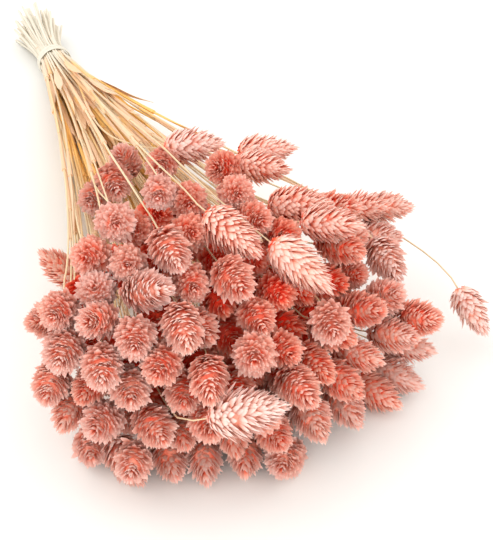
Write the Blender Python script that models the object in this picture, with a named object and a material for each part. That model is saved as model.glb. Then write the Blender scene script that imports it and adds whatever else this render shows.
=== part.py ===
"""A bunch of dried canary grass: pink heads on straw stems, tied near the cut ends and lying on its side."""
import math
import bpy
import numpy as np
from mathutils import Matrix

MM = 0.001
SEED = 54

# the bunch: the tie is at y = 0, the heads lie toward -Y and the cut ends toward +Y
STALKS = 136
BUNCHED_HEADS = 56              # pieces that the heads make together
MOST_IN_ONE = 4                 # heads in one piece
TIE_GAP = 0.35 * MM
TIE_THICKNESS = 1.2 * MM
TIE_WIDTH = 6 * MM
TIE_SIDES = 12
WAIST_PITCH = 1.62 * MM         # from stem to stem where they are packed at the tie
WAIST_RADIUS = 10.7 * MM
WAIST_ROWS = 12
WAIST_SPAN = 9
TIE_HEIGHT = WAIST_RADIUS + TIE_GAP + TIE_THICKNESS
CORE_HALF = 4 * MM              # the stems are one solid for this far either side of the middle of the tie
STEM_RADIUS = 0.63 * MM
STEM_SIDES = 3
BUTTS = 46
BUTT_RADIUS = 0.86 * MM
BUTT_LENGTHS = (52 * MM, 78 * MM)
BUTT_FLARE = 17 * MM
BUTT_DRIFT = 3 * MM
BUTT_STRAY = 1.4 * MM
BUTT_ROOT = 1.2 * MM
BUTT_EVEN = 0.08
BUTT_KNEE = (0.3, 0.45, 1.04)   # shares of the drift, the length and the waist at the bend
OFF_TABLE = 1.02                # least height of a stem's middle, in radii

LEAVES = 14
BLADE_LENGTHS = (42 * MM, 66 * MM)
BLADE_WIDTH = 6 * MM
BLADE_LIFT = 0.08               # how far the point bends off its stem, in blade lengths
LEAF_PLACES = (35 * MM, 125 * MM)
BLADE_WIDTHS = (0.3, 1.0, 0.8, 0.12)
BLADE_STEPS = np.array([-0.04, 0.3, 0.68, 1.0])[:, None]
BLADE_SCATTER = (0.8, 1.1)
BLADE_THICKNESS = 0.9 * MM
LEAFY_SHARE = 3                 # leaves are left on one stem in three, the upper ones

# the mass of heads: an egg laid across the fan of stems
MASS_CENTRE = np.array([-27, -354, 51]) * MM
MASS_HALF = np.array([91, 91, 51]) * MM
MASS_TURN = math.radians(31)
FOCUS = np.array([-6, -294, 28]) * MM
REACH_ROUND_SIDES = math.radians(102)
REACH_OVER_TOP = math.radians(34)
DEPTHS = (0.16, 0.62)           # how far in the heads lie that aren't placed by eye, and how few lie deep
DEEP_FEW = 1.3
HEADING_SPREAD = 0.26
HEADING_AHEAD = np.array([0, -0.35, 0])
HEAD_LENGTHS = (27 * MM, 35 * MM)
HEAD_RADII = (9.3 * MM, 10.9 * MM)
LEAST_SEEN = 23 * MM
GOLDEN_ANGLE = math.pi * (3 - math.sqrt(5))
GOLDEN_PART = 0.61803
NEARLY_UPRIGHT = 0.1
TINY = 1e-12

# heads placed by eye, as someone sees them who looks down at the front of the bunch: where the middle of the
# head lies across and down the view, how far its tip lies across and down from its foot, its length, how deep
# in the mass it lies, and for a head outside the mass the height of its middle
EYE_TURN = math.radians(-22)
EYE_RISE = math.radians(37)
EYE_AWAY = 700 * MM
EYE_AIM = np.array([-6, -371, 45]) * MM
VIEW_STEPS = 1385               # steps across the view for as much as the eye is away
VIEW_MIDDLE = (240, 315)
ON_TABLE = 8 * MM
MOST_ACROSS = 0.98              # of a head's length, seen from the side
STRAY_HEAD = 0
SEEN_HEADS = (
    (473, 313, 22, 42, 28, 0, 22),      # alone on a long arching stem
    (129, 160, -14, -20, 26, 0, 66),    # small, turned back over the stems
    (66, 264, -32, -32, 30, 0, 30),
    (46, 328, -36, 4, 30, 0, 62),
    (124, 471, 36, 37, 30, 0, 11),
    (248, 413, 70, -10, 35, 0, 62),     # large and pale, across the front
    (370, 268, 15, 46, 30, 0, 60),      # hanging from a bowed stem
    (197, 147, 54, -6, 31, 0, 80),
    (270, 146, 52, -4, 28, 0, 78),
    (267, 171, 50, 8, 30, 0, 78),
    (362, 211, 46, -2, 28, 0, 56),
    (394, 207, 42, 2, 26, 0, 50),
    (379, 234, 40, 8, 28, 0, 46),
    (123, 190, 8, 22, 29, 0, 62),
    (93, 198, -14, 20, 28, 0, 52),
    (164, 174, -10, 14, 29, 0, 76),
    (214, 174, -16, 4, 29, 0, 80),
    (187, 203, 4, 10, 28, 0, 0),
    (160, 208, -2, 12, 27, 0, 0),
    (121, 243, 0, 14, 28, 0, 0),
    (180, 232, 4, 14, 28, 0.04, 0),
    (169, 264, 20, 36, 30, 0, 0),
    (131, 268, 4, 16, 28, 0, 0),
    (106, 262, -8, 20, 28, 0, 0),
    (235, 245, 42, 46, 33, 0, 0),
    (239, 282, 16, 36, 30, 0.05, 0),
    (304, 268, 58, 46, 34, 0, 0),
    (302, 209, 54, 4, 32, 0, 0),
    (331, 237, 54, 4, 31, 0, 0),
    (397, 302, 44, 14, 29, 0, 0),
    (412, 343, 46, 8, 29, 0, 22),
    (397, 372, 46, 16, 29, 0, 14),
    (380, 388, 38, 24, 28, 0, 12),
    (343, 405, 26, 40, 30, 0, 16),
    (315, 415, 20, 42, 31, 0, 0),
    (277, 453, -4, 22, 30, 0, 14),
    (237, 450, 16, 38, 29, 0, 12),
    (207, 454, 4, 46, 30, 0, 12),
    (168, 457, 14, 36, 30, 0, 13),
    (147, 430, 12, 34, 29, 0, 0),
    (109, 420, -4, 28, 30, 0, 0),
    (78, 410, -10, 38, 29, 0, 0),
    (73, 352, -6, 26, 31, 0, 0),
    (60, 383, -8, 30, 28, 0, 0),
    (140, 305, 50, 8, 31, 0, 0),
    (138, 342, 6, 34, 30, 0, 0),
    (106, 322, -6, 26, 29, 0, 0),
    (184, 335, 12, 36, 30, 0, 0),
    (166, 357, 4, 26, 29, 0, 0),
    (195, 378, 12, 34, 30, 0, 0),
    (252, 360, -2, 14, 30, 0, 0),
    (329, 340, 4, 16, 31, 0, 0),
    (262, 392, 14, 20, 29, 0.06, 0),
    (290, 385, 26, 28, 29, 0.03, 0),
    (145, 227, 6, 12, 28, 0.10, 0),
    (76, 312, -8, 20, 29, 0, 0),
    (104, 293, -6, 14, 28, 0.05, 0),
    (117, 372, 4, 30, 29, 0.03, 0),
    (143, 384, 6, 28, 29, 0.06, 0),
    (192, 296, 10, 20, 28, 0.15, 0),
    (127, 441, -2, 26, 28, 0, 34),
    (173, 412, 8, 28, 29, 0.08, 0),
    (203, 412, 10, 20, 28, 0.08, 0),
    (229, 384, 8, 16, 28, 0.12, 0),
    (230, 204, 6, 10, 28, 0.06, 0),
    (256, 224, 14, 14, 28, 0.08, 0),
    (350, 262, 36, 16, 29, 0.05, 0),
    (348, 292, 30, 24, 29, 0.15, 0),
    (277, 300, 10, 14, 28, 0.25, 0),
    (258, 322, 14, 26, 28, 0.15, 0),
    (362, 318, 46, 10, 29, 0.06, 0),
    (357, 344, 44, 14, 29, 0.08, 0),
    (277, 347, 20, 20, 28, 0.15, 0),
    (310, 367, 24, 22, 29, 0.10, 0),
    (338, 373, 34, 24, 29, 0.05, 0),
    (80, 436, -4, 24, 28, 0, 12),
    (285, 430, 12, 24, 29, 0.10, 0),
    (200, 322, 10, 20, 28, 0.18, 0),
    (383, 322, 44, 12, 29, 0.03, 0),
    (378, 288, 36, 20, 28, 0.08, 0),
    (222, 432, 8, 30, 29, 0.05, 0),
    (98, 397, -4, 30, 29, 0.06, 0),
    (187, 436, 8, 28, 28, 0.06, 0),
    (281, 233, 20, 16, 28, 0.10, 0),
    (340, 222, 40, 6, 28, 0.20, 0),
    (352, 242, 36, 10, 28, 0.20, 0),
    (362, 278, 30, 14, 28, 0.28, 0),
    (82, 332, -4, 20, 28, 0.28, 0),
    (128, 410, 6, 24, 28, 0.28, 0),
    (210, 306, 8, 20, 28, 0.32, 0),
)

# room taken by a head, as four balls along it
BALL_PLACES = np.array([0.14, 0.38, 0.62, 0.86])
BALL_SIZES = np.array([0.70, 1.0, 0.94, 0.60])
# the same head as a solid: rings of pointed scales with notches between them
SCALES_ROUND = 5
SCALES_ROUND_INSIDE = 4
OUTSIDE = 0.86                  # heads further out than this share of the mass have the more scales
RING_PLACES = (0.15, 0.43, 0.73)
RING_SIZES = (0.68, 0.94, 0.72)
NOTCH_DEPTH = 0.74
TIP_LEAN = 0.055                # points of scales reach forward by this share of the head
HEAD_GAP = 0.5 * MM
STEM_GAP = 0.45 * MM
JOIN_DEPTH = 2.5 * MM
JOIN_BAR = 2.0 * MM
FLATTENED = 0.86                # a head on the table is pressed to this share of its radius
BUNCH_REACH = 9 * MM            # heads further apart than this aren't joined

# the stems: a foot just short of the head, a straight neck, and points along the way
FOOT_GAP = 0.3 * MM
NECK = 9 * MM
NECK_POINTS = 3
NECK_BEND = math.radians(24)
FIRST_SWEEP = 0.4
LAST_SWEEP = 0.3
LONGEST_SWEEP = 52 * MM
MOST_BOW = 6 * MM
STEM_CLEAR = 0.3 * MM
FAN_SPREAD = (0.66, 1, 0.8)
STEM_REACHES = np.array([0, 0.25, 0.45, 0.58, 0.68, 0.76, 0.83, 0.88, 0.925, 0.96, 0.985, 1.0])

# how heads and stems give way to each other: rounds, and how strongly they keep their places
HEADS_ALONE = (160, 0.02)
HEADS_AND_STEMS = (1200, 0.006)
SETTLED = 0.7
NEARBY = 8 * MM
LOOK_AGAIN = 12
SEEN_GIVES_WAY = 0.15
HEADS_PART = 0.5
HEAD_YIELDS = 0.30
STEM_YIELDS = 0.8
NECK_PULLS = 0.5
LIES_DOWN = 6 * MM              # heads as near to the table as this sink onto it, by this share a round
SINKS = 0.03
STRAIGHTEN = (0.30, 0.06)

PINK = (0.83, 0.42, 0.38, 1)
STRAW = (0.86, 0.74, 0.50, 1)
CREAM = (0.88, 0.83, 0.68, 1)


def unit(v):
    return v / np.maximum(np.linalg.norm(v, axis=-1, keepdims=True), TINY)


def mass_swing():
    cos, sin = math.cos(MASS_TURN), math.sin(MASS_TURN)
    return np.array([[cos, sin, 0], [-sin, cos, 0], [0, 0, 1]])


def seen_heads():
    """The heads placed by eye: where the line of sight enters the mass, or at a height of their own."""
    back = np.array([math.sin(EYE_TURN) * math.cos(EYE_RISE), -math.cos(EYE_TURN) * math.cos(EYE_RISE),
                     math.sin(EYE_RISE)])
    eye = EYE_AIM + back * EYE_AWAY
    right = unit(np.cross(-back, [0.0, 0.0, 1.0]))
    down = np.cross(-back, right)
    places = []
    for across, below, run_across, run_below, long, inset, height in SEEN_HEADS:
        sight = -back * VIEW_STEPS + right * (across - VIEW_MIDDLE[0]) + down * (below - VIEW_MIDDLE[1])
        if height:
            middle = eye + sight * (height * MM - eye[2]) / sight[2]
        else:
            way, start = sight / MASS_HALF, (eye - MASS_CENTRE) / MASS_HALF
            a, b, c = way @ way, way @ start, start @ start - (1 - inset) ** 2
            middle = eye - sight * (b + math.sqrt(max(b * b - a * c, 0))) / a
        step = (eye - middle) @ back / VIEW_STEPS
        run = (right * run_across + down * run_below) * step
        long = max(long * MM, np.linalg.norm(run) / MOST_ACROSS)
        run = run + back * math.sqrt(long ** 2 - run @ run)
        middle = middle + np.array([0, 0, max(ON_TABLE - middle[2] + abs(run[2]) / 2, 0)])
        places.append((middle - run / 2, middle + run / 2))
    return np.array(places)


def first_heads():
    """The heads placed by eye, and the others spread evenly through the front, sides and top of the mass."""
    rng = np.random.default_rng(SEED)
    lead = len(SEEN_HEADS)
    count = STALKS - lead
    k = np.arange(count)
    turn = k * GOLDEN_ANGLE
    far = REACH_ROUND_SIDES + REACH_OVER_TOP * np.sin(turn)
    polar = np.arccos(1 - (1 - np.cos(far)) * (k + 0.5) / count)
    way = np.stack([np.sin(polar) * np.cos(turn), -np.cos(polar), np.sin(polar) * np.sin(turn)], 1)
    depth = 1 - DEPTHS[0] - np.ptp(DEPTHS) * ((k * GOLDEN_PART) % 1.0) ** DEEP_FEW
    centre = MASS_CENTRE + (MASS_HALF * way * depth[:, None]) @ mass_swing()
    heading = unit(unit(centre - FOCUS) + HEADING_AHEAD + HEADING_SPREAD * rng.normal(size=(count, 3)))
    length = rng.uniform(*HEAD_LENGTHS, STALKS)
    places = seen_heads()
    run = places[:, 1] - places[:, 0]
    length[:lead] = np.clip(np.linalg.norm(run, axis=1), LEAST_SEEN, HEAD_LENGTHS[1])
    base = np.concatenate([places[:, 0], centre - heading * length[lead:, None] / 2])
    heading = np.concatenate([unit(run), heading])
    radius = HEAD_RADII[0] + (length - HEAD_LENGTHS[0]) * np.ptp(HEAD_RADII) / np.ptp(HEAD_LENGTHS)
    return base, base + heading * length[:, None], length, radius


def ball_centres(base, tip):
    return base[:, None] + (tip - base)[:, None] * BALL_PLACES[None, :, None]


def ball_sizes(radius):
    return (radius[:, None] * BALL_SIZES).ravel()


def bunches(base, tip, radius):
    """Neighbouring heads taken together, two to four in a bunch, and the pairs that touch in it."""
    n = len(base)
    centre = ball_centres(base, tip)
    size = radius[:, None] * BALL_SIZES
    near = []
    for i in range(n):
        apart = np.linalg.norm(centre[i][None, :, None] - centre[:, None], axis=3)
        gap = (apart - size[i][None, :, None] - size[:, None]).min(axis=(1, 2))
        near += [(gap[j], i, j) for j in range(i + 1, n)]
    near = sorted(item for item in near if item[0] < BUNCH_REACH and item[1] != STRAY_HEAD)
    group = list(range(n))
    members = {i: [i] for i in range(n)}
    pairs = []
    for limit in range(2, MOST_IN_ONE + 1):
        for gap, i, j in near:
            a, b = group[i], group[j]
            if a == b or len(members[a]) + len(members[b]) > limit or len(members) <= BUNCHED_HEADS:
                continue
            for m in members[b]:
                group[m] = a
            members[a] += members.pop(b)
            pairs.append((i, j))
    return list(members.values()), pairs


def waist_places(bearing, climb):
    """Packs the stems at the tie in the order in which they fan out, so that few of them cross."""
    n = len(bearing)
    spots = [(WAIST_PITCH * (col + 0.5 * (row % 2)), WAIST_PITCH * row * math.sqrt(3) / 2)
             for row in range(-WAIST_SPAN, WAIST_SPAN + 1) for col in range(-WAIST_SPAN, WAIST_SPAN + 1)]
    spots = np.array(sorted(spots, key=lambda spot: math.hypot(*spot))[:n])
    by_height = np.argsort(spots[:, 1], kind="stable")
    by_climb = np.argsort(climb, kind="stable")
    places = np.empty((n, 2))
    for row in range(WAIST_ROWS):
        these = slice(row * n // WAIST_ROWS, (row + 1) * n // WAIST_ROWS)
        spot, stem = by_height[these], by_climb[these]
        spot = spot[np.argsort(spots[spot, 0], kind="stable")]
        stem = stem[np.argsort(bearing[stem], kind="stable")]
        places[stem] = spots[spot]
    return places


def stem_starts(base):
    """Where each stem passes the tie."""
    n = len(base)
    waist = waist_places(-base[:, 0] / base[:, 1], (TIE_HEIGHT - base[:, 2]) / base[:, 1])
    return np.stack([waist[:, 0], np.zeros(n), TIE_HEIGHT + waist[:, 1]], 1)


def easy_stems(start, base, tip):
    """Each stem as it would run alone: leaving the tie along the fan, then coming to its head from behind."""
    far = np.linalg.norm(base - start, axis=1)
    fan = (base - start) * FAN_SPREAD
    a = start + unit(fan) * far[:, None] * FIRST_SWEEP
    b = base - unit(tip - base) * np.minimum(LAST_SWEEP * far, LONGEST_SWEEP)[:, None]
    t = STEM_REACHES[None, :, None]
    line = ((1 - t) ** 3 * start[:, None] + 3 * (1 - t) ** 2 * t * a[:, None]
            + 3 * (1 - t) * t ** 2 * b[:, None] + t ** 3 * base[:, None])
    line[:, :, 2] = np.maximum(line[:, :, 2], STEM_RADIUS * OFF_TABLE)
    return line


def near_spans(line, flat, size, owner, margin):
    """The spans of stem that pass close to a ball of a head; the neck of its own head is left out."""
    a, run = line[:, :-1], line[:, 1:] - line[:, :-1]
    to = flat[None, None] - a[:, :, None]
    t = np.clip(np.einsum("ijkl,ijl->ijk", to, run) / ((run ** 2).sum(-1) + TINY)[..., None], 0, 1)
    close = np.linalg.norm(to - t[..., None] * run[:, :, None], axis=-1) < size[None, None] + margin
    own = np.arange(len(line))[:, None, None] == owner[None, None]
    neck = np.arange(run.shape[1])[None, :, None] >= run.shape[1] - NECK_POINTS
    return np.nonzero(close & ~(own & neck))


def spread(values, where, count):
    """Adds up the moves that fall on each of a number of points."""
    return np.stack([np.bincount(where, values[:, k], count) for k in range(3)], 1)


def set_necks(line, base, tip):
    way = unit(tip - base)
    line[:, -1] = base - way * FOOT_GAP
    line[:, -2] = base - way * NECK


def settle(base, tip, length, radius, rounds, hold, pairs=(), line=None):
    """Moves crowded heads, and the stems threading between them, until none of them touch."""
    n, b = len(base), len(BALL_PLACES)
    owner = np.repeat(np.arange(n), b)
    home_base, home_tip = base.copy(), tip.copy()
    size = ball_sizes(radius)
    joined = np.zeros((n, n), bool)
    for i, j in pairs:
        joined[i, j] = joined[j, i] = True
    weight = np.where(np.arange(n) < len(SEEN_HEADS), SEEN_GIVES_WAY, 1.0)
    part = BALL_PLACES[None, :, None]
    for step in range(rounds):
        centre = ball_centres(base, tip)
        flat = centre.reshape(-1, 3)
        if line is not None:
            set_necks(line, base, tip)
        if step % LOOK_AGAIN == 0:
            reach = np.linalg.norm(flat[:, None] - flat[None], axis=2) - size[:, None] - size[None]
            one, two = np.nonzero((reach < NEARBY) & (owner[:, None] < owner[None]))
            want = size[one] + size[two] + np.where(joined[owner[one], owner[two]], -JOIN_DEPTH, HEAD_GAP)
            if line is not None:
                ease = easy_stems(line[:, 0], base, tip)
                stem, span, ball = near_spans(line, flat, size, owner, NEARBY)
                need = size[ball] + STEM_RADIUS + STEM_GAP
        off = flat[one] - flat[two]
        dist = np.linalg.norm(off, axis=1) + TINY
        over = np.maximum(want - dist, 0) * HEADS_PART / dist
        first, second = weight[owner[one]], weight[owner[two]]
        push = spread(off * (over * first / (first + second))[:, None], one, n * b)
        push -= spread(off * (over * second / (first + second))[:, None], two, n * b)
        nudge = 0
        if line is not None:
            a, run = line[stem, span], line[stem, span + 1] - line[stem, span]
            t = np.clip(((flat[ball] - a) * run).sum(1) / ((run ** 2).sum(1) + TINY), 0, 1)
            miss = a + t[:, None] * run - flat[ball]
            far = np.linalg.norm(miss, axis=1) + TINY
            bump = miss * (np.maximum(need - far, 0) / far)[:, None]
            push -= spread(bump * HEAD_YIELDS * weight[owner[ball]][:, None], ball, n * b)
            m = line.shape[1]
            move = spread(bump * (1 - t)[:, None] * STEM_YIELDS, stem * m + span, n * m)
            move += spread(bump * t[:, None] * STEM_YIELDS, stem * m + span + 1, n * m)
            move = move.reshape(n, m, 3)
            nudge = (move[:, -1] + move[:, -2]) * NECK_PULLS * weight[:, None]
            run = np.linalg.norm(line[:, 1:] - line[:, :-1], axis=2, keepdims=True) + TINY
            fore = run[:, 1:] / (run[:, 1:] + run[:, :-1])
            swerve = line - ease
            bend = swerve[:, :-2] * fore + swerve[:, 2:] * (1 - fore) - swerve[:, 1:-1]
            calm = STRAIGHTEN[0] if step < rounds * SETTLED else STRAIGHTEN[1]
            line[:, 1:-2] += move[:, 1:-2] + bend[:, :-1] * calm
            line[:, 1:, 2] = np.maximum(line[:, 1:, 2], STEM_RADIUS * OFF_TABLE)
        above = flat[:, 2] - size * FLATTENED
        push[:, 2] -= np.minimum(above, 0)
        above = above.reshape(n, b).min(1)
        sink = np.where(above < LIES_DOWN, np.maximum(above, 0), 0) * SINKS
        push = push.reshape(n, b, 3)
        base = base + (push * (1 - part)).sum(1) + nudge
        tip = tip + (push * part).sum(1) + nudge
        base[:, 2] -= sink
        tip[:, 2] -= sink
        for i, j in pairs:
            d, far, p, q = nearest_balls(centre, i, j, radius)
            spare = far - radius[i] * BALL_SIZES[p] - radius[j] * BALL_SIZES[q] + JOIN_DEPTH
            if spare > 0:
                move = d / far * spare / 2
                mine = weight[i] / (weight[i] + weight[j])
                base[i] -= move * mine
                tip[i] -= move * mine
                base[j] += move * (1 - mine)
                tip[j] += move * (1 - mine)
        fade = hold * max(0.0, 1 - step / (SETTLED * rounds))
        base += (home_base - base) * fade
        tip += (home_tip - tip) * fade
        middle, way = (base + tip) / 2, unit(tip - base)
        base, tip = middle - way * length[:, None] / 2, middle + way * length[:, None] / 2
    if line is not None:
        set_necks(line, base, tip)
    return base, tip


def nearest_balls(centre, i, j, radius):
    """The step and the distance between the closest balls of two heads, and which balls they are."""
    d = centre[i][:, None] - centre[j][None]
    far = np.linalg.norm(d, axis=2)
    spare = far - (radius[i] * BALL_SIZES)[:, None] - (radius[j] * BALL_SIZES)[None]
    p, q = np.unravel_index(np.argmin(spare), spare.shape)
    return d[p, q], far[p, q], p, q


def clearance(a, b, flat, size):
    """The least room between a straight run of stem and all the heads."""
    run = b - a
    t = np.clip((flat - a) @ run / (run @ run + TINY), 0, 1)
    return (np.linalg.norm(a + t[:, None] * run - flat, axis=1) - size).min() - STEM_RADIUS


def plain_line(points, flat, size, own):
    """Leaves out the points of a stem that it can do without and still pass clear of every head."""
    keep = [0]
    neck = len(points) - 2
    size = np.where(own, 0, size)
    while keep[-1] < neck:
        here = keep[-1]
        onward = here + 1
        for there in range(neck, here + 1, -1):
            run = unit(points[there] - points[here])
            between = points[here + 1:there] - points[here]
            bow = np.linalg.norm(between - (between @ run)[:, None] * run, axis=1).max()
            if bow < MOST_BOW and clearance(points[here], points[there], flat, size) > STEM_CLEAR:
                onward = there
                break
        keep.append(onward)
    before = points[keep[-2]]
    straight = unit(points[-1] - before) @ unit(points[-1] - points[-2]) > math.cos(NECK_BEND)
    if straight and clearance(before, points[-1], flat, size) > STEM_CLEAR:
        keep.pop()
    return points[keep + [neck + 1]]


def frame_of(way):
    """Two directions square to a way and to each other."""
    side = np.cross(way, [0.0, 0.0, 1.0])
    if np.linalg.norm(side) < NEARLY_UPRIGHT:
        side = np.cross(way, [1.0, 0.0, 0.0])
    side = unit(side)
    return side, np.cross(side, way)


def outside(base, tip):
    """How far out in the mass the middle of a head is, 1 at its skin."""
    return np.linalg.norm(((base + tip) / 2 - MASS_CENTRE) @ mass_swing().T / MASS_HALF, axis=-1)


def head_solid(base, tip, radius, scales, turn):
    """A head: rings of pointed scales, each ring set half a scale round from the one before it."""
    way = unit(tip - base)
    length = np.linalg.norm(tip - base)
    side, up = frame_of(way)
    columns = 2 * scales
    verts = [base]
    for ring, (place, size) in enumerate(zip(RING_PLACES, RING_SIZES)):
        for col in range(columns):
            pointed = (ring + col) % 2 == 0
            r = radius * size * (1 if pointed else NOTCH_DEPTH)
            along = length * (place + (TIP_LEAN if pointed else -TIP_LEAN / 2))
            angle = turn + math.tau * col / columns
            verts.append(base + way * along + (side * math.cos(angle) + up * math.sin(angle)) * r)
    verts.append(tip)
    faces = []
    for col in range(columns):
        after = (col + 1) % columns
        faces.append((0, 1 + col, 1 + after))
        top = 1 + (len(RING_PLACES) - 1) * columns
        faces.append((len(verts) - 1, top + after, top + col))
        for ring in range(len(RING_PLACES) - 1):
            a, b = 1 + ring * columns + col, 1 + ring * columns + after
            d, e = b + columns, a + columns
            if (ring + col) % 2:
                faces += [(a, d, b), (a, e, d)]
            else:
                faces += [(a, e, b), (b, e, d)]
    verts = np.array(verts)
    verts[:, 2] = np.maximum(verts[:, 2], 0)
    return verts, faces


def rod(points, radius, sides, turn=0.0):
    """A straight-sided rod through the points, mitred where it bends and closed at both ends."""
    points = np.asarray(points, float)
    ways = unit(np.diff(points, axis=0))
    side, up = frame_of(ways[0])
    angles = turn + math.tau * np.arange(sides) / sides
    ring = points[0] + (side * np.cos(angles)[:, None] + up * np.sin(angles)[:, None]) * radius
    rings = [ring]
    for k in range(1, len(points)):
        way = ways[k - 1]
        across = unit(way + ways[min(k, len(ways) - 1)])
        ring = ring + way * (((points[k] - ring) @ across) / (way @ across))[:, None]
        rings.append(ring)
    faces = []
    for first in range(0, (len(points) - 1) * sides, sides):
        for k in range(sides):
            a, b = first + k, first + (k + 1) % sides
            faces.append((a, a + sides, b + sides, b))
    end = (len(points) - 1) * sides
    faces += [tuple(range(sides)), tuple(end + k for k in reversed(range(sides)))]
    return np.concatenate(rings), faces


def blade(points, normal, width):
    """A dry leaf: a thin strip, thickest along its middle, that narrows to a point."""
    points = np.asarray(points, float)
    ways = unit(np.gradient(points, axis=0))
    verts = []
    for point, way, share in zip(points, ways, BLADE_WIDTHS):
        side = unit(np.cross(way, normal))
        thick = unit(np.cross(side, way)) * BLADE_THICKNESS / 2
        half = side * width * share / 2
        verts += [point + half, point + thick, point - half, point - thick]
    faces = [(0, 1, 2), (0, 2, 3)]
    for first in range(0, len(verts) - 4, 4):
        for k in range(4):
            a, b = first + k, first + (k + 1) % 4
            faces += [(a, a + 4, b + 4), (a, b + 4, b)] if k % 2 else [(a, a + 4, b), (b, a + 4, b + 4)]
    end = len(verts) - 4
    faces += [(end, end + 2, end + 1), (end, end + 3, end + 2)]
    return np.array(verts), faces


def leaves(lines, flat, size, rng):
    """Dry leaves left on the upper stems between the tie and the heads."""
    solids = []
    ways = np.array([unit(line[1] - line[0]) for line in lines])
    upper = np.argsort(-ways[:, 2], kind="stable")[:len(lines) // LEAFY_SHARE]
    for stem in rng.permutation(upper):
        way = ways[stem]
        up_stem = rng.uniform(*LEAF_PLACES)
        if np.linalg.norm(lines[stem][1] - lines[stem][0]) < up_stem + BLADE_WIDTH:
            continue
        root = lines[stem][0] + way * up_stem
        out = unit((root - (0, root[1], TIE_HEIGHT)) * (1, 0, 1) + (0, 0, BLADE_WIDTH))
        long = rng.uniform(*BLADE_LENGTHS)
        points = root + way * long * BLADE_STEPS + out * long * BLADE_LIFT * BLADE_STEPS ** 2
        reach = min(clearance(a, b, flat, size) for a, b in zip(points, points[1:]))
        if reach > BLADE_WIDTH and points[:, 2].min() > BLADE_WIDTH:
            solids.append(blade(points, out, BLADE_WIDTH * rng.uniform(*BLADE_SCATTER)))
        if len(solids) == LEAVES:
            break
    return solids


def material(name, colour, roughness):
    surface = bpy.data.materials.new(name)
    surface.use_nodes = True
    shader = surface.node_tree.nodes["Principled BSDF"]
    shader.inputs["Base Color"].default_value = colour
    shader.inputs["Roughness"].default_value = roughness
    return surface


def solid(name, verts, faces, surface=None):
    mesh = bpy.data.meshes.new(name)
    mesh.from_pydata([tuple(v) for v in verts], [], faces)
    mesh.update()
    made = bpy.data.objects.new(name, mesh)
    bpy.context.scene.collection.objects.link(made)
    if surface:
        mesh.materials.append(surface)
    return made


def fused(name, solids, surface):
    """One closed body from overlapping solids."""
    body = solid(name, *solids[0], surface)
    if len(solids) > 1:
        others = bpy.data.collections.new(name + "_others")
        bpy.context.scene.collection.children.link(others)
        for k, (verts, faces) in enumerate(solids[1:]):
            other = solid(f"{name}_other_{k}", verts, faces)
            bpy.context.scene.collection.objects.unlink(other)
            others.objects.link(other)
        union = body.modifiers.new("union", "BOOLEAN")
        union.operation = "UNION"
        union.operand_type = "COLLECTION"
        union.collection = others
        union.solver = "MANIFOLD"
        bpy.context.view_layer.update()
        whole = bpy.data.meshes.new_from_object(body.evaluated_get(bpy.context.evaluated_depsgraph_get()))
        body.modifiers.clear()
        body.data = whole
        for other in list(others.objects):
            bpy.data.objects.remove(other)
        bpy.data.collections.remove(others)
    body.data.materials.clear()
    body.data.materials.append(surface)
    return body


def tie(surface):
    """A flat band round the waist of the bunch; the lowest of its sides lies on the table."""
    rims = []
    for apothem in (TIE_HEIGHT, TIE_HEIGHT - TIE_THICKNESS):
        r = apothem / math.cos(math.pi / TIE_SIDES)
        for y in (-TIE_WIDTH / 2, TIE_WIDTH / 2):
            angles = [math.tau * (k + 0.5) / TIE_SIDES - math.pi / 2 for k in range(TIE_SIDES)]
            rims.append([(r * math.cos(a), y, TIE_HEIGHT + r * math.sin(a)) for a in angles])
    verts = np.array([v for rim in rims for v in rim])
    verts[:, 2] = np.where(verts[:, 2] < TIE_GAP, 0, verts[:, 2])
    faces = []
    n = TIE_SIDES
    for k in range(n):
        j = (k + 1) % n
        faces.append((k, n + k, n + j, j))
        faces.append((2 * n + k, 2 * n + j, 3 * n + j, 3 * n + k))
        faces.append((k, j, 2 * n + j, 2 * n + k))
        faces.append((n + k, 3 * n + k, 3 * n + j, n + j))
    return solid("tie", verts, faces, surface)


def cut_ends(rng):
    """Cut ends of the outer stems, flaring again behind the tie, with a core that holds them together."""
    solids = [rod([(0, -CORE_HALF, TIE_HEIGHT), (0, CORE_HALF, TIE_HEIGHT)], WAIST_RADIUS, TIE_SIDES)]
    for k in range(BUTTS):
        out = math.sqrt((k + 0.5) / BUTTS)
        angle = k * GOLDEN_ANGLE
        across = np.array([math.cos(angle), 0, math.sin(angle)])
        long = rng.uniform(*BUTT_LENGTHS) * (1 - BUTT_EVEN * out)
        start = np.array([0, 0, TIE_HEIGHT]) + across * (WAIST_RADIUS - BUTT_ROOT) * out
        flare = across * BUTT_FLARE * out + rng.normal(size=3) * (BUTT_STRAY, 0, BUTT_STRAY)
        drift, along, wide = BUTT_KNEE
        knee = np.array([BUTT_DRIFT * drift, long * along, TIE_HEIGHT]) + across * WAIST_RADIUS * out * wide
        points = np.array([start, knee, np.array([BUTT_DRIFT, long, TIE_HEIGHT]) + flare])
        points[:, 2] = np.maximum(points[:, 2], BUTT_RADIUS * OFF_TABLE)
        solids.append(rod(points, BUTT_RADIUS, STEM_SIDES, rng.uniform(0, math.tau)))
    return solids


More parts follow.
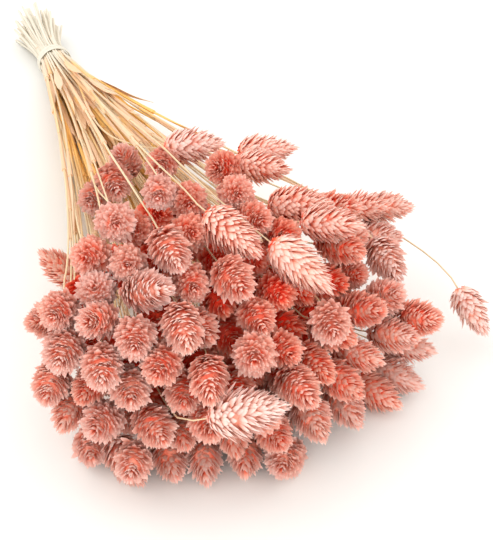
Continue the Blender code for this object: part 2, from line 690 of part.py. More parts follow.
def main():
    for item in list(bpy.data.objects):
        bpy.data.objects.remove(item)
    rng = np.random.default_rng(SEED + 1)
    pink = material("pink_heads", PINK, 0.85)
    straw = material("straw", STRAW, 0.7)
    cream = material("tie_cream", CREAM, 0.6)

    base, tip, length, radius = first_heads()
    base, tip = settle(base, tip, length, radius, *HEADS_ALONE)
    groups, pairs = bunches(base, tip, radius)
    line = easy_stems(stem_starts(base), base, tip)
    base, tip = settle(base, tip, length, radius, *HEADS_AND_STEMS, pairs, line)

    made = [tie(cream)]
    centre = ball_centres(base, tip)
    scales = np.where(outside(base, tip) > OUTSIDE, SCALES_ROUND, SCALES_ROUND_INSIDE)
    for number, group in enumerate(sorted(groups, key=min), 1):
        solids = [head_solid(base[i], tip[i], radius[i], scales[i], rng.uniform(0, math.tau)) for i in group]
        for i, j in pairs:
            if i in group:
                p, q = nearest_balls(centre, i, j, radius)[2:]
                solids.append(rod([centre[i, p], centre[j, q]], JOIN_BAR, STEM_SIDES))
        made.append(fused(f"heads_{number:02d}", solids, pink))

    flat, size = centre.reshape(-1, 3), ball_sizes(radius)
    owner = np.repeat(np.arange(STALKS), len(BALL_PLACES))
    lines = [plain_line(line[i], flat, size, owner == i) for i in range(STALKS)]
    solids = cut_ends(rng) + leaves(lines, flat, size, rng)
    for points in lines:
        solids.append(rod(points, STEM_RADIUS, STEM_SIDES, rng.uniform(0, math.tau)))
    made.append(fused("stems", solids, straw))

    corners = np.array([v.co for item in made for v in item.data.vertices])
    low, high = corners.min(0), corners.max(0)
    shift = Matrix.Translation((-(low[0] + high[0]) / 2, -(low[1] + high[1]) / 2, 0))
    for item in made:
        item.data.transform(shift)
        item.data.update()


main()
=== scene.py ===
"""Looks of a bunch of dried canary grass: every scale of its pink heads, its straw stems, leaves and tie."""
import math
import bpy
import numpy as np
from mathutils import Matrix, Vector


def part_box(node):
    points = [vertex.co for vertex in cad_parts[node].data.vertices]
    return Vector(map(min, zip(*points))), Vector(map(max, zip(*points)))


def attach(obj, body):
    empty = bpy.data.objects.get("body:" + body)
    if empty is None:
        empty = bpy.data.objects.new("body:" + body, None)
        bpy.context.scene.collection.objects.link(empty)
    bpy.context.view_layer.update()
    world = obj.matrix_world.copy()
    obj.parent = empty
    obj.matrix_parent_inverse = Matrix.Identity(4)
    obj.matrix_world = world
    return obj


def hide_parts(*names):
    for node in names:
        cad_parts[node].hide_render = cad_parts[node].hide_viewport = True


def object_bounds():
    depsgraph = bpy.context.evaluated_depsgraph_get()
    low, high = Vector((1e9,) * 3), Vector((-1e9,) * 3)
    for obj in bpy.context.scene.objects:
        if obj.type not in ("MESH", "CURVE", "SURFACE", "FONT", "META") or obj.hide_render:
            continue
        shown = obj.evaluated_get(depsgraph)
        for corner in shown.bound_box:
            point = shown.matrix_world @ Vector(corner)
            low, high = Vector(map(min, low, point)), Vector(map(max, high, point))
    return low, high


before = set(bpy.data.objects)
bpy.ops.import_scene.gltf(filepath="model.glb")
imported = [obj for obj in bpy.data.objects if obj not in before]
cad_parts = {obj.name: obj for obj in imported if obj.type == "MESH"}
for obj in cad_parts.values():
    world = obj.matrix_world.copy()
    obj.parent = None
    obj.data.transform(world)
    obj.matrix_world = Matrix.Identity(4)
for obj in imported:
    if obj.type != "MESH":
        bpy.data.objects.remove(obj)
cad_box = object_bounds()

MM = 0.001
SEED = 54

# the bunch: the tie is at y = 0, the heads lie toward -Y and the cut ends toward +Y
STALKS = 136
BUNCHED_HEADS = 56
MOST_IN_ONE = 4
TIE_GAP = 0.35 * MM
TIE_THICKNESS = 1.2 * MM
WAIST_PITCH = 1.62 * MM
WAIST_RADIUS = 10.7 * MM
WAIST_ROWS = 12
WAIST_SPAN = 9
TIE_HEIGHT = WAIST_RADIUS + TIE_GAP + TIE_THICKNESS
STEM_RADIUS = 0.63 * MM
BUTTS = 46
BUTT_LENGTHS = (52 * MM, 78 * MM)
BUTT_FLARE = 17 * MM
BUTT_DRIFT = 3 * MM
BUTT_STRAY = 1.4 * MM
BUTT_EVEN = 0.08
BUTT_KNEE = (0.3, 0.45, 1.04)
OFF_TABLE = 1.02

LEAVES = 14
BLADE_LENGTHS = (42 * MM, 66 * MM)
BLADE_WIDTH = 6 * MM
BLADE_LIFT = 0.08
LEAF_PLACES = (35 * MM, 125 * MM)
BLADE_STEPS = np.array([-0.04, 0.3, 0.68, 1.0])[:, None]
BLADE_SCATTER = (0.8, 1.1)
LEAFY_SHARE = 3

# the mass of heads: an egg laid across the fan of stems
MASS_CENTRE = np.array([-27, -354, 51]) * MM
MASS_HALF = np.array([91, 91, 51]) * MM
MASS_TURN = math.radians(31)
FOCUS = np.array([-6, -294, 28]) * MM
REACH_ROUND_SIDES = math.radians(102)
REACH_OVER_TOP = math.radians(34)
DEPTHS = (0.16, 0.62)
DEEP_FEW = 1.3
HEADING_SPREAD = 0.26
HEADING_AHEAD = np.array([0, -0.35, 0])
HEAD_LENGTHS = (27 * MM, 35 * MM)
HEAD_RADII = (9.3 * MM, 10.9 * MM)
LEAST_SEEN = 23 * MM
GOLDEN_ANGLE = math.pi * (3 - math.sqrt(5))
GOLDEN_PART = 0.61803
NEARLY_UPRIGHT = 0.1
TINY = 1e-12

# heads listed as someone sees them who looks down at the front of the bunch: where the middle of the
# head lies across and down the view, how far its tip lies across and down from its foot, its length, how deep
# in the mass it lies, and for a head outside the mass the height of its middle
EYE_TURN = math.radians(-22)
EYE_RISE = math.radians(37)
EYE_AWAY = 700 * MM
EYE_AIM = np.array([-6, -371, 45]) * MM
VIEW_STEPS = 1385
VIEW_MIDDLE = (240, 315)
ON_TABLE = 8 * MM
MOST_ACROSS = 0.98
STRAY_HEAD = 0
SEEN_HEADS = (
    (473, 313, 22, 42, 28, 0, 22),
    (129, 160, -14, -20, 26, 0, 66),
    (66, 264, -32, -32, 30, 0, 30),
    (46, 328, -36, 4, 30, 0, 62),
    (124, 471, 36, 37, 30, 0, 11),
    (248, 413, 70, -10, 35, 0, 62),
    (370, 268, 15, 46, 30, 0, 60),
    (197, 147, 54, -6, 31, 0, 80),
    (270, 146, 52, -4, 28, 0, 78),
    (267, 171, 50, 8, 30, 0, 78),
    (362, 211, 46, -2, 28, 0, 56),
    (394, 207, 42, 2, 26, 0, 50),
    (379, 234, 40, 8, 28, 0, 46),
    (123, 190, 8, 22, 29, 0, 62),
    (93, 198, -14, 20, 28, 0, 52),
    (164, 174, -10, 14, 29, 0, 76),
    (214, 174, -16, 4, 29, 0, 80),
    (187, 203, 4, 10, 28, 0, 0),
    (160, 208, -2, 12, 27, 0, 0),
    (121, 243, 0, 14, 28, 0, 0),
    (180, 232, 4, 14, 28, 0.04, 0),
    (169, 264, 20, 36, 30, 0, 0),
    (131, 268, 4, 16, 28, 0, 0),
    (106, 262, -8, 20, 28, 0, 0),
    (235, 245, 42, 46, 33, 0, 0),
    (239, 282, 16, 36, 30, 0.05, 0),
    (304, 268, 58, 46, 34, 0, 0),
    (302, 209, 54, 4, 32, 0, 0),
    (331, 237, 54, 4, 31, 0, 0),
    (397, 302, 44, 14, 29, 0, 0),
    (412, 343, 46, 8, 29, 0, 22),
    (397, 372, 46, 16, 29, 0, 14),
    (380, 388, 38, 24, 28, 0, 12),
    (343, 405, 26, 40, 30, 0, 16),
    (315, 415, 20, 42, 31, 0, 0),
    (277, 453, -4, 22, 30, 0, 14),
    (237, 450, 16, 38, 29, 0, 12),
    (207, 454, 4, 46, 30, 0, 12),
    (168, 457, 14, 36, 30, 0, 13),
    (147, 430, 12, 34, 29, 0, 0),
    (109, 420, -4, 28, 30, 0, 0),
    (78, 410, -10, 38, 29, 0, 0),
    (73, 352, -6, 26, 31, 0, 0),
    (60, 383, -8, 30, 28, 0, 0),
    (140, 305, 50, 8, 31, 0, 0),
    (138, 342, 6, 34, 30, 0, 0),
    (106, 322, -6, 26, 29, 0, 0),
    (184, 335, 12, 36, 30, 0, 0),
    (166, 357, 4, 26, 29, 0, 0),
    (195, 378, 12, 34, 30, 0, 0),
    (252, 360, -2, 14, 30, 0, 0),
    (329, 340, 4, 16, 31, 0, 0),
    (262, 392, 14, 20, 29, 0.06, 0),
    (290, 385, 26, 28, 29, 0.03, 0),
    (145, 227, 6, 12, 28, 0.10, 0),
    (76, 312, -8, 20, 29, 0, 0),
    (104, 293, -6, 14, 28, 0.05, 0),
    (117, 372, 4, 30, 29, 0.03, 0),
    (143, 384, 6, 28, 29, 0.06, 0),
    (192, 296, 10, 20, 28, 0.15, 0),
    (127, 441, -2, 26, 28, 0, 34),
    (173, 412, 8, 28, 29, 0.08, 0),
    (203, 412, 10, 20, 28, 0.08, 0),
    (229, 384, 8, 16, 28, 0.12, 0),
    (230, 204, 6, 10, 28, 0.06, 0),
    (256, 224, 14, 14, 28, 0.08, 0),
    (350, 262, 36, 16, 29, 0.05, 0),
    (348, 292, 30, 24, 29, 0.15, 0),
    (277, 300, 10, 14, 28, 0.25, 0),
    (258, 322, 14, 26, 28, 0.15, 0),
    (362, 318, 46, 10, 29, 0.06, 0),
    (357, 344, 44, 14, 29, 0.08, 0),
    (277, 347, 20, 20, 28, 0.15, 0),
    (310, 367, 24, 22, 29, 0.10, 0),
    (338, 373, 34, 24, 29, 0.05, 0),
    (80, 436, -4, 24, 28, 0, 12),
    (285, 430, 12, 24, 29, 0.10, 0),
    (200, 322, 10, 20, 28, 0.18, 0),
    (383, 322, 44, 12, 29, 0.03, 0),
    (378, 288, 36, 20, 28, 0.08, 0),
    (222, 432, 8, 30, 29, 0.05, 0),
    (98, 397, -4, 30, 29, 0.06, 0),
    (187, 436, 8, 28, 28, 0.06, 0),
    (281, 233, 20, 16, 28, 0.10, 0),
    (340, 222, 40, 6, 28, 0.20, 0),
    (352, 242, 36, 10, 28, 0.20, 0),
    (362, 278, 30, 14, 28, 0.28, 0),
    (82, 332, -4, 20, 28, 0.28, 0),
    (128, 410, 6, 24, 28, 0.28, 0),
    (210, 306, 8, 20, 28, 0.32, 0),
)

# room taken by a head, as four balls along it
BALL_PLACES = np.array([0.14, 0.38, 0.62, 0.86])
BALL_SIZES = np.array([0.70, 1.0, 0.94, 0.60])
HEAD_GAP = 0.5 * MM
STEM_GAP = 0.45 * MM
JOIN_DEPTH = 2.5 * MM
FLATTENED = 0.86
BUNCH_REACH = 9 * MM

# the stems: a foot just short of the head, a straight neck, and points along the way
FOOT_GAP = 0.3 * MM
NECK = 9 * MM
NECK_POINTS = 3
NECK_BEND = math.radians(24)
FIRST_SWEEP = 0.4
LAST_SWEEP = 0.3
LONGEST_SWEEP = 52 * MM
MOST_BOW = 6 * MM
STEM_CLEAR = 0.3 * MM
FAN_SPREAD = (0.66, 1, 0.8)
STEM_REACHES = np.array([0, 0.25, 0.45, 0.58, 0.68, 0.76, 0.83, 0.88, 0.925, 0.96, 0.985, 1.0])

# how heads and stems give way to each other: rounds, and how strongly they keep their places
HEADS_ALONE = (160, 0.02)
HEADS_AND_STEMS = (1200, 0.006)
SETTLED = 0.7
NEARBY = 8 * MM
LOOK_AGAIN = 12
SEEN_GIVES_WAY = 0.15
HEADS_PART = 0.5
HEAD_YIELDS = 0.30
STEM_YIELDS = 0.8
NECK_PULLS = 0.5
LIES_DOWN = 6 * MM
SINKS = 0.03
STRAIGHTEN = (0.30, 0.06)


def unit(v):
    return v / np.maximum(np.linalg.norm(v, axis=-1, keepdims=True), TINY)


def mass_swing():
    cos, sin = math.cos(MASS_TURN), math.sin(MASS_TURN)
    return np.array([[cos, sin, 0], [-sin, cos, 0], [0, 0, 1]])


def toward_eye():
    """The way from the bunch to the one who looks at it."""
    return np.array([math.sin(EYE_TURN) * math.cos(EYE_RISE), -math.cos(EYE_TURN) * math.cos(EYE_RISE),
                     math.sin(EYE_RISE)])


def seen_heads():
    """The listed heads: where the line of sight enters the mass, or at a height of their own."""
    back = toward_eye()
    eye = EYE_AIM + back * EYE_AWAY
    right = unit(np.cross(-back, [0.0, 0.0, 1.0]))
    down = np.cross(-back, right)
    places = []
    for across, below, run_across, run_below, long, inset, height in SEEN_HEADS:
        sight = -back * VIEW_STEPS + right * (across - VIEW_MIDDLE[0]) + down * (below - VIEW_MIDDLE[1])
        if height:
            middle = eye + sight * (height * MM - eye[2]) / sight[2]
        else:
            way, start = sight / MASS_HALF, (eye - MASS_CENTRE) / MASS_HALF
            a, b, c = way @ way, way @ start, start @ start - (1 - inset) ** 2
            middle = eye - sight * (b + math.sqrt(max(b * b - a * c, 0))) / a
        step = (eye - middle) @ back / VIEW_STEPS
        run = (right * run_across + down * run_below) * step
        long = max(long * MM, np.linalg.norm(run) / MOST_ACROSS)
        run = run + back * math.sqrt(long ** 2 - run @ run)
        middle = middle + np.array([0, 0, max(ON_TABLE - middle[2] + abs(run[2]) / 2, 0)])
        places.append((middle - run / 2, middle + run / 2))
    return np.array(places)


def first_heads():
    """The listed heads, and the others spread evenly through the front, sides and top of the mass."""
    rng = np.random.default_rng(SEED)
    lead = len(SEEN_HEADS)
    count = STALKS - lead
    k = np.arange(count)
    turn = k * GOLDEN_ANGLE
    far = REACH_ROUND_SIDES + REACH_OVER_TOP * np.sin(turn)
    polar = np.arccos(1 - (1 - np.cos(far)) * (k + 0.5) / count)
    way = np.stack([np.sin(polar) * np.cos(turn), -np.cos(polar), np.sin(polar) * np.sin(turn)], 1)
    depth = 1 - DEPTHS[0] - np.ptp(DEPTHS) * ((k * GOLDEN_PART) % 1.0) ** DEEP_FEW
    centre = MASS_CENTRE + (MASS_HALF * way * depth[:, None]) @ mass_swing()
    heading = unit(unit(centre - FOCUS) + HEADING_AHEAD + HEADING_SPREAD * rng.normal(size=(count, 3)))
    length = rng.uniform(*HEAD_LENGTHS, STALKS)
    places = seen_heads()
    run = places[:, 1] - places[:, 0]
    length[:lead] = np.clip(np.linalg.norm(run, axis=1), LEAST_SEEN, HEAD_LENGTHS[1])
    base = np.concatenate([places[:, 0], centre - heading * length[lead:, None] / 2])
    heading = np.concatenate([unit(run), heading])
    radius = HEAD_RADII[0] + (length - HEAD_LENGTHS[0]) * np.ptp(HEAD_RADII) / np.ptp(HEAD_LENGTHS)
    return base, base + heading * length[:, None], length, radius


def ball_centres(base, tip):
    return base[:, None] + (tip - base)[:, None] * BALL_PLACES[None, :, None]


def ball_sizes(radius):
    return (radius[:, None] * BALL_SIZES).ravel()


def bunches(base, tip, radius):
    """Neighbouring heads taken together, two to four in a bunch, and the pairs that touch in it."""
    n = len(base)
    centre = ball_centres(base, tip)
    size = radius[:, None] * BALL_SIZES
    near = []
    for i in range(n):
        apart = np.linalg.norm(centre[i][None, :, None] - centre[:, None], axis=3)
        gap = (apart - size[i][None, :, None] - size[:, None]).min(axis=(1, 2))
        near += [(gap[j], i, j) for j in range(i + 1, n)]
    near = sorted(item for item in near if item[0] < BUNCH_REACH and item[1] != STRAY_HEAD)
    group = list(range(n))
    members = {i: [i] for i in range(n)}
    pairs = []
    for limit in range(2, MOST_IN_ONE + 1):
        for gap, i, j in near:
            a, b = group[i], group[j]
            if a == b or len(members[a]) + len(members[b]) > limit or len(members) <= BUNCHED_HEADS:
                continue
            for m in members[b]:
                group[m] = a
            members[a] += members.pop(b)
            pairs.append((i, j))
    return list(members.values()), pairs


def waist_places(bearing, climb):
    """Packs the stems at the tie in the order in which they fan out, so that few of them cross."""
    n = len(bearing)
    spots = [(WAIST_PITCH * (col + 0.5 * (row % 2)), WAIST_PITCH * row * math.sqrt(3) / 2)
             for row in range(-WAIST_SPAN, WAIST_SPAN + 1) for col in range(-WAIST_SPAN, WAIST_SPAN + 1)]
    spots = np.array(sorted(spots, key=lambda spot: math.hypot(*spot))[:n])
    by_height = np.argsort(spots[:, 1], kind="stable")
    by_climb = np.argsort(climb, kind="stable")
    places = np.empty((n, 2))
    for row in range(WAIST_ROWS):
        these = slice(row * n // WAIST_ROWS, (row + 1) * n // WAIST_ROWS)
        spot, stem = by_height[these], by_climb[these]
        spot = spot[np.argsort(spots[spot, 0], kind="stable")]
        stem = stem[np.argsort(bearing[stem], kind="stable")]
        places[stem] = spots[spot]
    return places


def stem_starts(base):
    """Where each stem passes the tie."""
    n = len(base)
    waist = waist_places(-base[:, 0] / base[:, 1], (TIE_HEIGHT - base[:, 2]) / base[:, 1])
    return np.stack([waist[:, 0], np.zeros(n), TIE_HEIGHT + waist[:, 1]], 1)


def easy_stems(start, base, tip):
    """Each stem as it would run alone: leaving the tie along the fan, then coming to its head from behind."""
    far = np.linalg.norm(base - start, axis=1)
    fan = (base - start) * FAN_SPREAD
    a = start + unit(fan) * far[:, None] * FIRST_SWEEP
    b = base - unit(tip - base) * np.minimum(LAST_SWEEP * far, LONGEST_SWEEP)[:, None]
    t = STEM_REACHES[None, :, None]
    line = ((1 - t) ** 3 * start[:, None] + 3 * (1 - t) ** 2 * t * a[:, None]
            + 3 * (1 - t) * t ** 2 * b[:, None] + t ** 3 * base[:, None])
    line[:, :, 2] = np.maximum(line[:, :, 2], STEM_RADIUS * OFF_TABLE)
    return line


def near_spans(line, flat, size, owner, margin):
    """The spans of stem that pass close to a ball of a head; the neck of its own head is left out."""
    a, run = line[:, :-1], line[:, 1:] - line[:, :-1]
    to = flat[None, None] - a[:, :, None]
    t = np.clip(np.einsum("ijkl,ijl->ijk", to, run) / ((run ** 2).sum(-1) + TINY)[..., None], 0, 1)
    close = np.linalg.norm(to - t[..., None] * run[:, :, None], axis=-1) < size[None, None] + margin
    own = np.arange(len(line))[:, None, None] == owner[None, None]
    neck = np.arange(run.shape[1])[None, :, None] >= run.shape[1] - NECK_POINTS
    return np.nonzero(close & ~(own & neck))


def spread(values, where, count):
    """Adds up the moves that fall on each of a number of points."""
    return np.stack([np.bincount(where, values[:, k], count) for k in range(3)], 1)


def set_necks(line, base, tip):
    way = unit(tip - base)
    line[:, -1] = base - way * FOOT_GAP
    line[:, -2] = base - way * NECK


def settle(base, tip, length, radius, rounds, hold, pairs=(), line=None):
    """Moves crowded heads, and the stems threading between them, until none of them touch."""
    n, b = len(base), len(BALL_PLACES)
    owner = np.repeat(np.arange(n), b)
    home_base, home_tip = base.copy(), tip.copy()
    size = ball_sizes(radius)
    joined = np.zeros((n, n), bool)
    for i, j in pairs:
        joined[i, j] = joined[j, i] = True
    weight = np.where(np.arange(n) < len(SEEN_HEADS), SEEN_GIVES_WAY, 1.0)
    part = BALL_PLACES[None, :, None]
    for step in range(rounds):
        centre = ball_centres(base, tip)
        flat = centre.reshape(-1, 3)
        if line is not None:
            set_necks(line, base, tip)
        if step % LOOK_AGAIN == 0:
            reach = np.linalg.norm(flat[:, None] - flat[None], axis=2) - size[:, None] - size[None]
            one, two = np.nonzero((reach < NEARBY) & (owner[:, None] < owner[None]))
            want = size[one] + size[two] + np.where(joined[owner[one], owner[two]], -JOIN_DEPTH, HEAD_GAP)
            if line is not None:
                ease = easy_stems(line[:, 0], base, tip)
                stem, span, ball = near_spans(line, flat, size, owner, NEARBY)
                need = size[ball] + STEM_RADIUS + STEM_GAP
        off = flat[one] - flat[two]
        dist = np.linalg.norm(off, axis=1) + TINY
        over = np.maximum(want - dist, 0) * HEADS_PART / dist
        first, second = weight[owner[one]], weight[owner[two]]
        push = spread(off * (over * first / (first + second))[:, None], one, n * b)
        push -= spread(off * (over * second / (first + second))[:, None], two, n * b)
        nudge = 0
        if line is not None:
            a, run = line[stem, span], line[stem, span + 1] - line[stem, span]
            t = np.clip(((flat[ball] - a) * run).sum(1) / ((run ** 2).sum(1) + TINY), 0, 1)
            miss = a + t[:, None] * run - flat[ball]
            far = np.linalg.norm(miss, axis=1) + TINY
            bump = miss * (np.maximum(need - far, 0) / far)[:, None]
            push -= spread(bump * HEAD_YIELDS * weight[owner[ball]][:, None], ball, n * b)
            m = line.shape[1]
            move = spread(bump * (1 - t)[:, None] * STEM_YIELDS, stem * m + span, n * m)
            move += spread(bump * t[:, None] * STEM_YIELDS, stem * m + span + 1, n * m)
            move = move.reshape(n, m, 3)
            nudge = (move[:, -1] + move[:, -2]) * NECK_PULLS * weight[:, None]
            run = np.linalg.norm(line[:, 1:] - line[:, :-1], axis=2, keepdims=True) + TINY
            fore = run[:, 1:] / (run[:, 1:] + run[:, :-1])
            swerve = line - ease
            bend = swerve[:, :-2] * fore + swerve[:, 2:] * (1 - fore) - swerve[:, 1:-1]
            calm = STRAIGHTEN[0] if step < rounds * SETTLED else STRAIGHTEN[1]
            line[:, 1:-2] += move[:, 1:-2] + bend[:, :-1] * calm
            line[:, 1:, 2] = np.maximum(line[:, 1:, 2], STEM_RADIUS * OFF_TABLE)
        above = flat[:, 2] - size * FLATTENED
        push[:, 2] -= np.minimum(above, 0)
        above = above.reshape(n, b).min(1)
        sink = np.where(above < LIES_DOWN, np.maximum(above, 0), 0) * SINKS
        push = push.reshape(n, b, 3)
        base = base + (push * (1 - part)).sum(1) + nudge
        tip = tip + (push * part).sum(1) + nudge
        base[:, 2] -= sink
        tip[:, 2] -= sink
        for i, j in pairs:
            d, far, p, q = nearest_balls(centre, i, j, radius)
            spare = far - radius[i] * BALL_SIZES[p] - radius[j] * BALL_SIZES[q] + JOIN_DEPTH
            if spare > 0:
                move = d / far * spare / 2
                mine = weight[i] / (weight[i] + weight[j])
                base[i] -= move * mine
                tip[i] -= move * mine
                base[j] += move * (1 - mine)
                tip[j] += move * (1 - mine)
        fade = hold * max(0.0, 1 - step / (SETTLED * rounds))
        base += (home_base - base) * fade
        tip += (home_tip - tip) * fade
        middle, way = (base + tip) / 2, unit(tip - base)
        base, tip = middle - way * length[:, None] / 2, middle + way * length[:, None] / 2
    if line is not None:
        set_necks(line, base, tip)
    return base, tip


def nearest_balls(centre, i, j, radius):
    """The step and the distance between the closest balls of two heads, and which balls they are."""
    d = centre[i][:, None] - centre[j][None]
    far = np.linalg.norm(d, axis=2)
    spare = far - (radius[i] * BALL_SIZES)[:, None] - (radius[j] * BALL_SIZES)[None]
    p, q = np.unravel_index(np.argmin(spare), spare.shape)
    return d[p, q], far[p, q], p, q


def clearance(a, b, flat, size):
    """The least room between a straight run of stem and all the heads."""
    run = b - a
    t = np.clip((flat - a) @ run / (run @ run + TINY), 0, 1)
    return (np.linalg.norm(a + t[:, None] * run - flat, axis=1) - size).min() - STEM_RADIUS


def plain_line(points, flat, size, own):
    """Leaves out the points of a stem that it can do without and still pass clear of every head."""
    keep = [0]
    neck = len(points) - 2
    size = np.where(own, 0, size)
    while keep[-1] < neck:
        here = keep[-1]
        onward = here + 1
        for there in range(neck, here + 1, -1):
            run = unit(points[there] - points[here])
            between = points[here + 1:there] - points[here]
            bow = np.linalg.norm(between - (between @ run)[:, None] * run, axis=1).max()
            if bow < MOST_BOW and clearance(points[here], points[there], flat, size) > STEM_CLEAR:
                onward = there
                break
        keep.append(onward)
    before = points[keep[-2]]
    straight = unit(points[-1] - before) @ unit(points[-1] - points[-2]) > math.cos(NECK_BEND)
    if straight and clearance(before, points[-1], flat, size) > STEM_CLEAR:
        keep.pop()
    return points[keep + [neck + 1]]


def frame_of(way):
    """Two directions square to a way and to each other."""
    side = np.cross(way, [0.0, 0.0, 1.0])
    if np.linalg.norm(side) < NEARLY_UPRIGHT:
        side = np.cross(way, [1.0, 0.0, 0.0])
    side = unit(side)
    return side, np.cross(side, way)


# the scales of a head wind up it. Heads nearer the middle of the mass than OUTSIDE are deep ones, whose scales are
# fewer, and whose colour is painted redder and darker as shade. The tables give, along a head, how far out its
# scales reach, how far below its point each is rooted, how narrow it is and how close it stands to the next
OUTSIDE = 0.80
# painted shade: how much redder and darker the scales of deep heads are coloured
DEEP_PAINTED_SHADE = 0.42
SLIMMER = (0.86, 0.97)
SCALE_STEPS = (2.6 * MM, 3.3 * MM)
SCALE_SPAN = (-0.06, 1.08)
HEAD_PROFILE = np.array([(-0.12, 0.16), (-0.05, 0.50), (0.02, 0.70), (0.12, 0.90), (0.25, 1.02), (0.38, 1.05),
                         (0.52, 1.00), (0.66, 0.89), (0.78, 0.73), (0.88, 0.55), (0.97, 0.36), (1.10, 0.08)]).T
SCALE_BACK = np.array([(-0.10, -0.06), (0.02, 0.06), (0.14, 0.20), (0.30, 0.28), (0.60, 0.31), (1.05, 0.32)]).T
NARROWER = np.array([(-0.1, 0.85), (0.15, 1.0), (0.6, 0.95), (0.82, 0.74), (0.94, 0.60), (1.10, 0.46)]).T
CLOSER = np.array([(0.0, 1.0), (0.62, 1.0), (0.85, 0.75), (1.10, 0.60)]).T

# one scale: its rows from root to point, how wide they are, how far out its root, knee and point lie, and its keel
SCALE_ROWS = np.array([0.0, 0.34, 0.62, 0.84])
SCALE_WIDTHS = np.array([0.45, 1.0, 0.90, 0.52])
SCALE_WIDTH = 3.6 * MM
SCALE_REACHES = (0.32, 0.78, 1.04)
KNEE_BACK = 0.46
KEEL = 0.22

# how much one scale differs from the next
STRAY_ALONG = 0.022
STRAY_AROUND = 0.45 * MM
STRAY_REACH = 0.09
STRAY_BACK = (0.9, 1.12)
STRAY_KNEE = 0.4 * MM
STRAY_POINT = 0.6 * MM
STRAY_ROLL = 0.16
STRAY_WIDTH = (0.85, 1.12)

# the dense middle of a head: places along it with their share of the head's radius, and its two ends
CORE = np.array([(0.05, 0.38), (0.18, 0.58), (0.32, 0.62), (0.46, 0.58), (0.60, 0.48), (0.70, 0.32)])
CORE_ENDS = (0.02, 0.78)
CORE_ROUND = 10
CORE_TONES = (0.25, 0.55)

# how pale a head is: those seen to be pale, by their row in the table above, and the most that the rule gives;
# the paleness that the rule gives to heads further out and toward -X is painted light
PALE_HEADS = {0: 0.6, 2: 0.2, 5: 0.6, 6: 0.6, 21: 0.4, 24: 0.2, 26: 0.25, 33: 0.4, 34: 0.4, 35: 0.5, 38: 0.4,
              44: 0.6}
MOST_PALE = 0.5

# the stems: sizes along them, and their joints
STEM_RINGS = 40
STEM_ROUND = 6
STEM_SIZES = np.array([(0, 0.90), (0.18, 0.80), (0.6, 0.66), (1, 0.42)]).T * [[1], [MM]]
STEM_SCATTER = (0.86, 1.12)
INTO_HEAD = 2 * MM
JOINT_PLACES = ((0.06, 0.34), (0.42, 0.62))
JOINT_RINGS = np.array([-2.2, -1.0, -0.3, 0.3, 1.0, 2.2]) * MM
JOINT_LENGTH = 1.1 * MM
JOINT_SWELL = 0.32

# sheaths and small dry leaves: lengths in millimetres, and a leaf's width and lift in millimetres
SHEATHED = 0.8
SHEATH_LENGTHS = (38, 80)
SHEATH_END = 0.78
SHEATH_RINGS = 9
SHEATH_ROUND = 7
SHEATH_FLAT = 0.8
LEAFY = 0.7
LEAF_FROM_SHEATH = ((34, 78), (2.2, 4.4), (0.8, 4))
LEAF_ON_STEM = ((30, 70), (2.0, 3.8), (0.2, 2.5))
LEAF_STARTS = (0.22, 0.46)
LEAF_END = 0.74
LEAF_RINGS = 12
NOT_AT_SIDES = 0.7

# the tie: turns of a flat strand
TIE_TURNS = 5
TIE_STEPS = 60
STRAND_ROUND = 8
STRAND_STEP = 1.12 * MM
STRAND_WIDE = 1.0 * MM
STRAND_THICK = 0.45 * MM
STRAND_SET_IN = 0.5 * MM
STRAND_WANDER = 0.3 * MM
STRAND_SWELL = 0.12 * MM

# colours of the dyed scales, from root to point, whose deep red toward the roots is partly dye and partly painted
# shade of the crevices between scales, and of the straw
DYE_AND_CREVICE_SHADE_TONES = ((0.0, (0.92, 0.04, 0.015)), (0.30, (0.98, 0.13, 0.06)), (0.52, (0.98, 0.41, 0.28)),
               (0.75, (0.98, 0.58, 0.46)), (1.0, (0.97, 0.68, 0.58)))
# painted shade: the coral of the gaps where scales overlap
EDGE_PAINTED_SHADE = (0.98, 0.30, 0.19)
# the pink of pale heads: partly their own faded dye, partly painted light
FADED_DYE_AND_PAINTED_LIGHT = (0.86, 0.68, 0.65)
UNEVEN_PEACH = (0.95, 0.55, 0.40)
# the orange end of the straw tones is reached partly by random blotches and partly by stems low in the fan, as
# painted shade
STEM_TONES = ((0.15, (0.82, 0.72, 0.56)), (0.5, (0.84, 0.68, 0.47)), (0.9, (0.94, 0.62, 0.28)))
SHEATH_TONES = ((0.15, (0.84, 0.64, 0.47)), (0.5, (0.90, 0.59, 0.36)), (0.9, (0.88, 0.64, 0.50)))
TIE_TONES = ((0.15, (0.78, 0.74, 0.60)), (0.9, (0.76, 0.70, 0.54)))
STEM_TIP = (0.78, 0.61, 0.38)
SHEATH_TIP = (0.84, 0.56, 0.36)
LEAF_TIP = (0.86, 0.60, 0.42)
TIE_TIP = (0.76, 0.70, 0.54)
CUT_END_CREAM = (0.76, 0.745, 0.66)
FIBRE_BROWN = (0.80, 0.45, 0.16)
# painted shade: the orange of stems buried inside the fan
FAN_PAINTED_SHADE = (0.99, 0.58, 0.15)
JOINT_BROWN = (0.60, 0.36, 0.16)

# what each point of a piece knows about its own place, for the finishes
HEAD_VALUES = ("along", "edge", "shade", "pale")
STRAW_VALUES = ("along", "around", "shade", "joint")

# the studio: a sheet of floor, soft light all round, and two lamps with their power, size and place
FLOOR_HALF = 4
FLOOR_DROP = 0.2 * MM
FLOOR_TONE = (0.82, 0.815, 0.79, 1)
ROOM_TONE = (1.0, 0.99, 0.975, 1)
ROOM_LIGHT = 1.38
LAMPS = (("softbox", 1.7, 0.9, (-0.7, 0.0, 1.0)),
         ("front_fill", 6.8, 1.2, (-0.5, -1.3, 0.5)))
LAMPS_AIM = (0, -0.33, 0.04)

# the picture, in the same steps as the table of heads
PICTURE_WIDE = 493
PICTURE_TALL = 540
SENSOR = 36


def grid(columns, rows, first=0):
    """Quads of a closed tube with its rings one after another."""
    faces = []
    for row in range(rows - 1):
        for col in range(columns):
            a, b = first + row * columns + col, first + row * columns + (col + 1) % columns
            faces.append((a, b, b + columns, a + columns))
    return faces


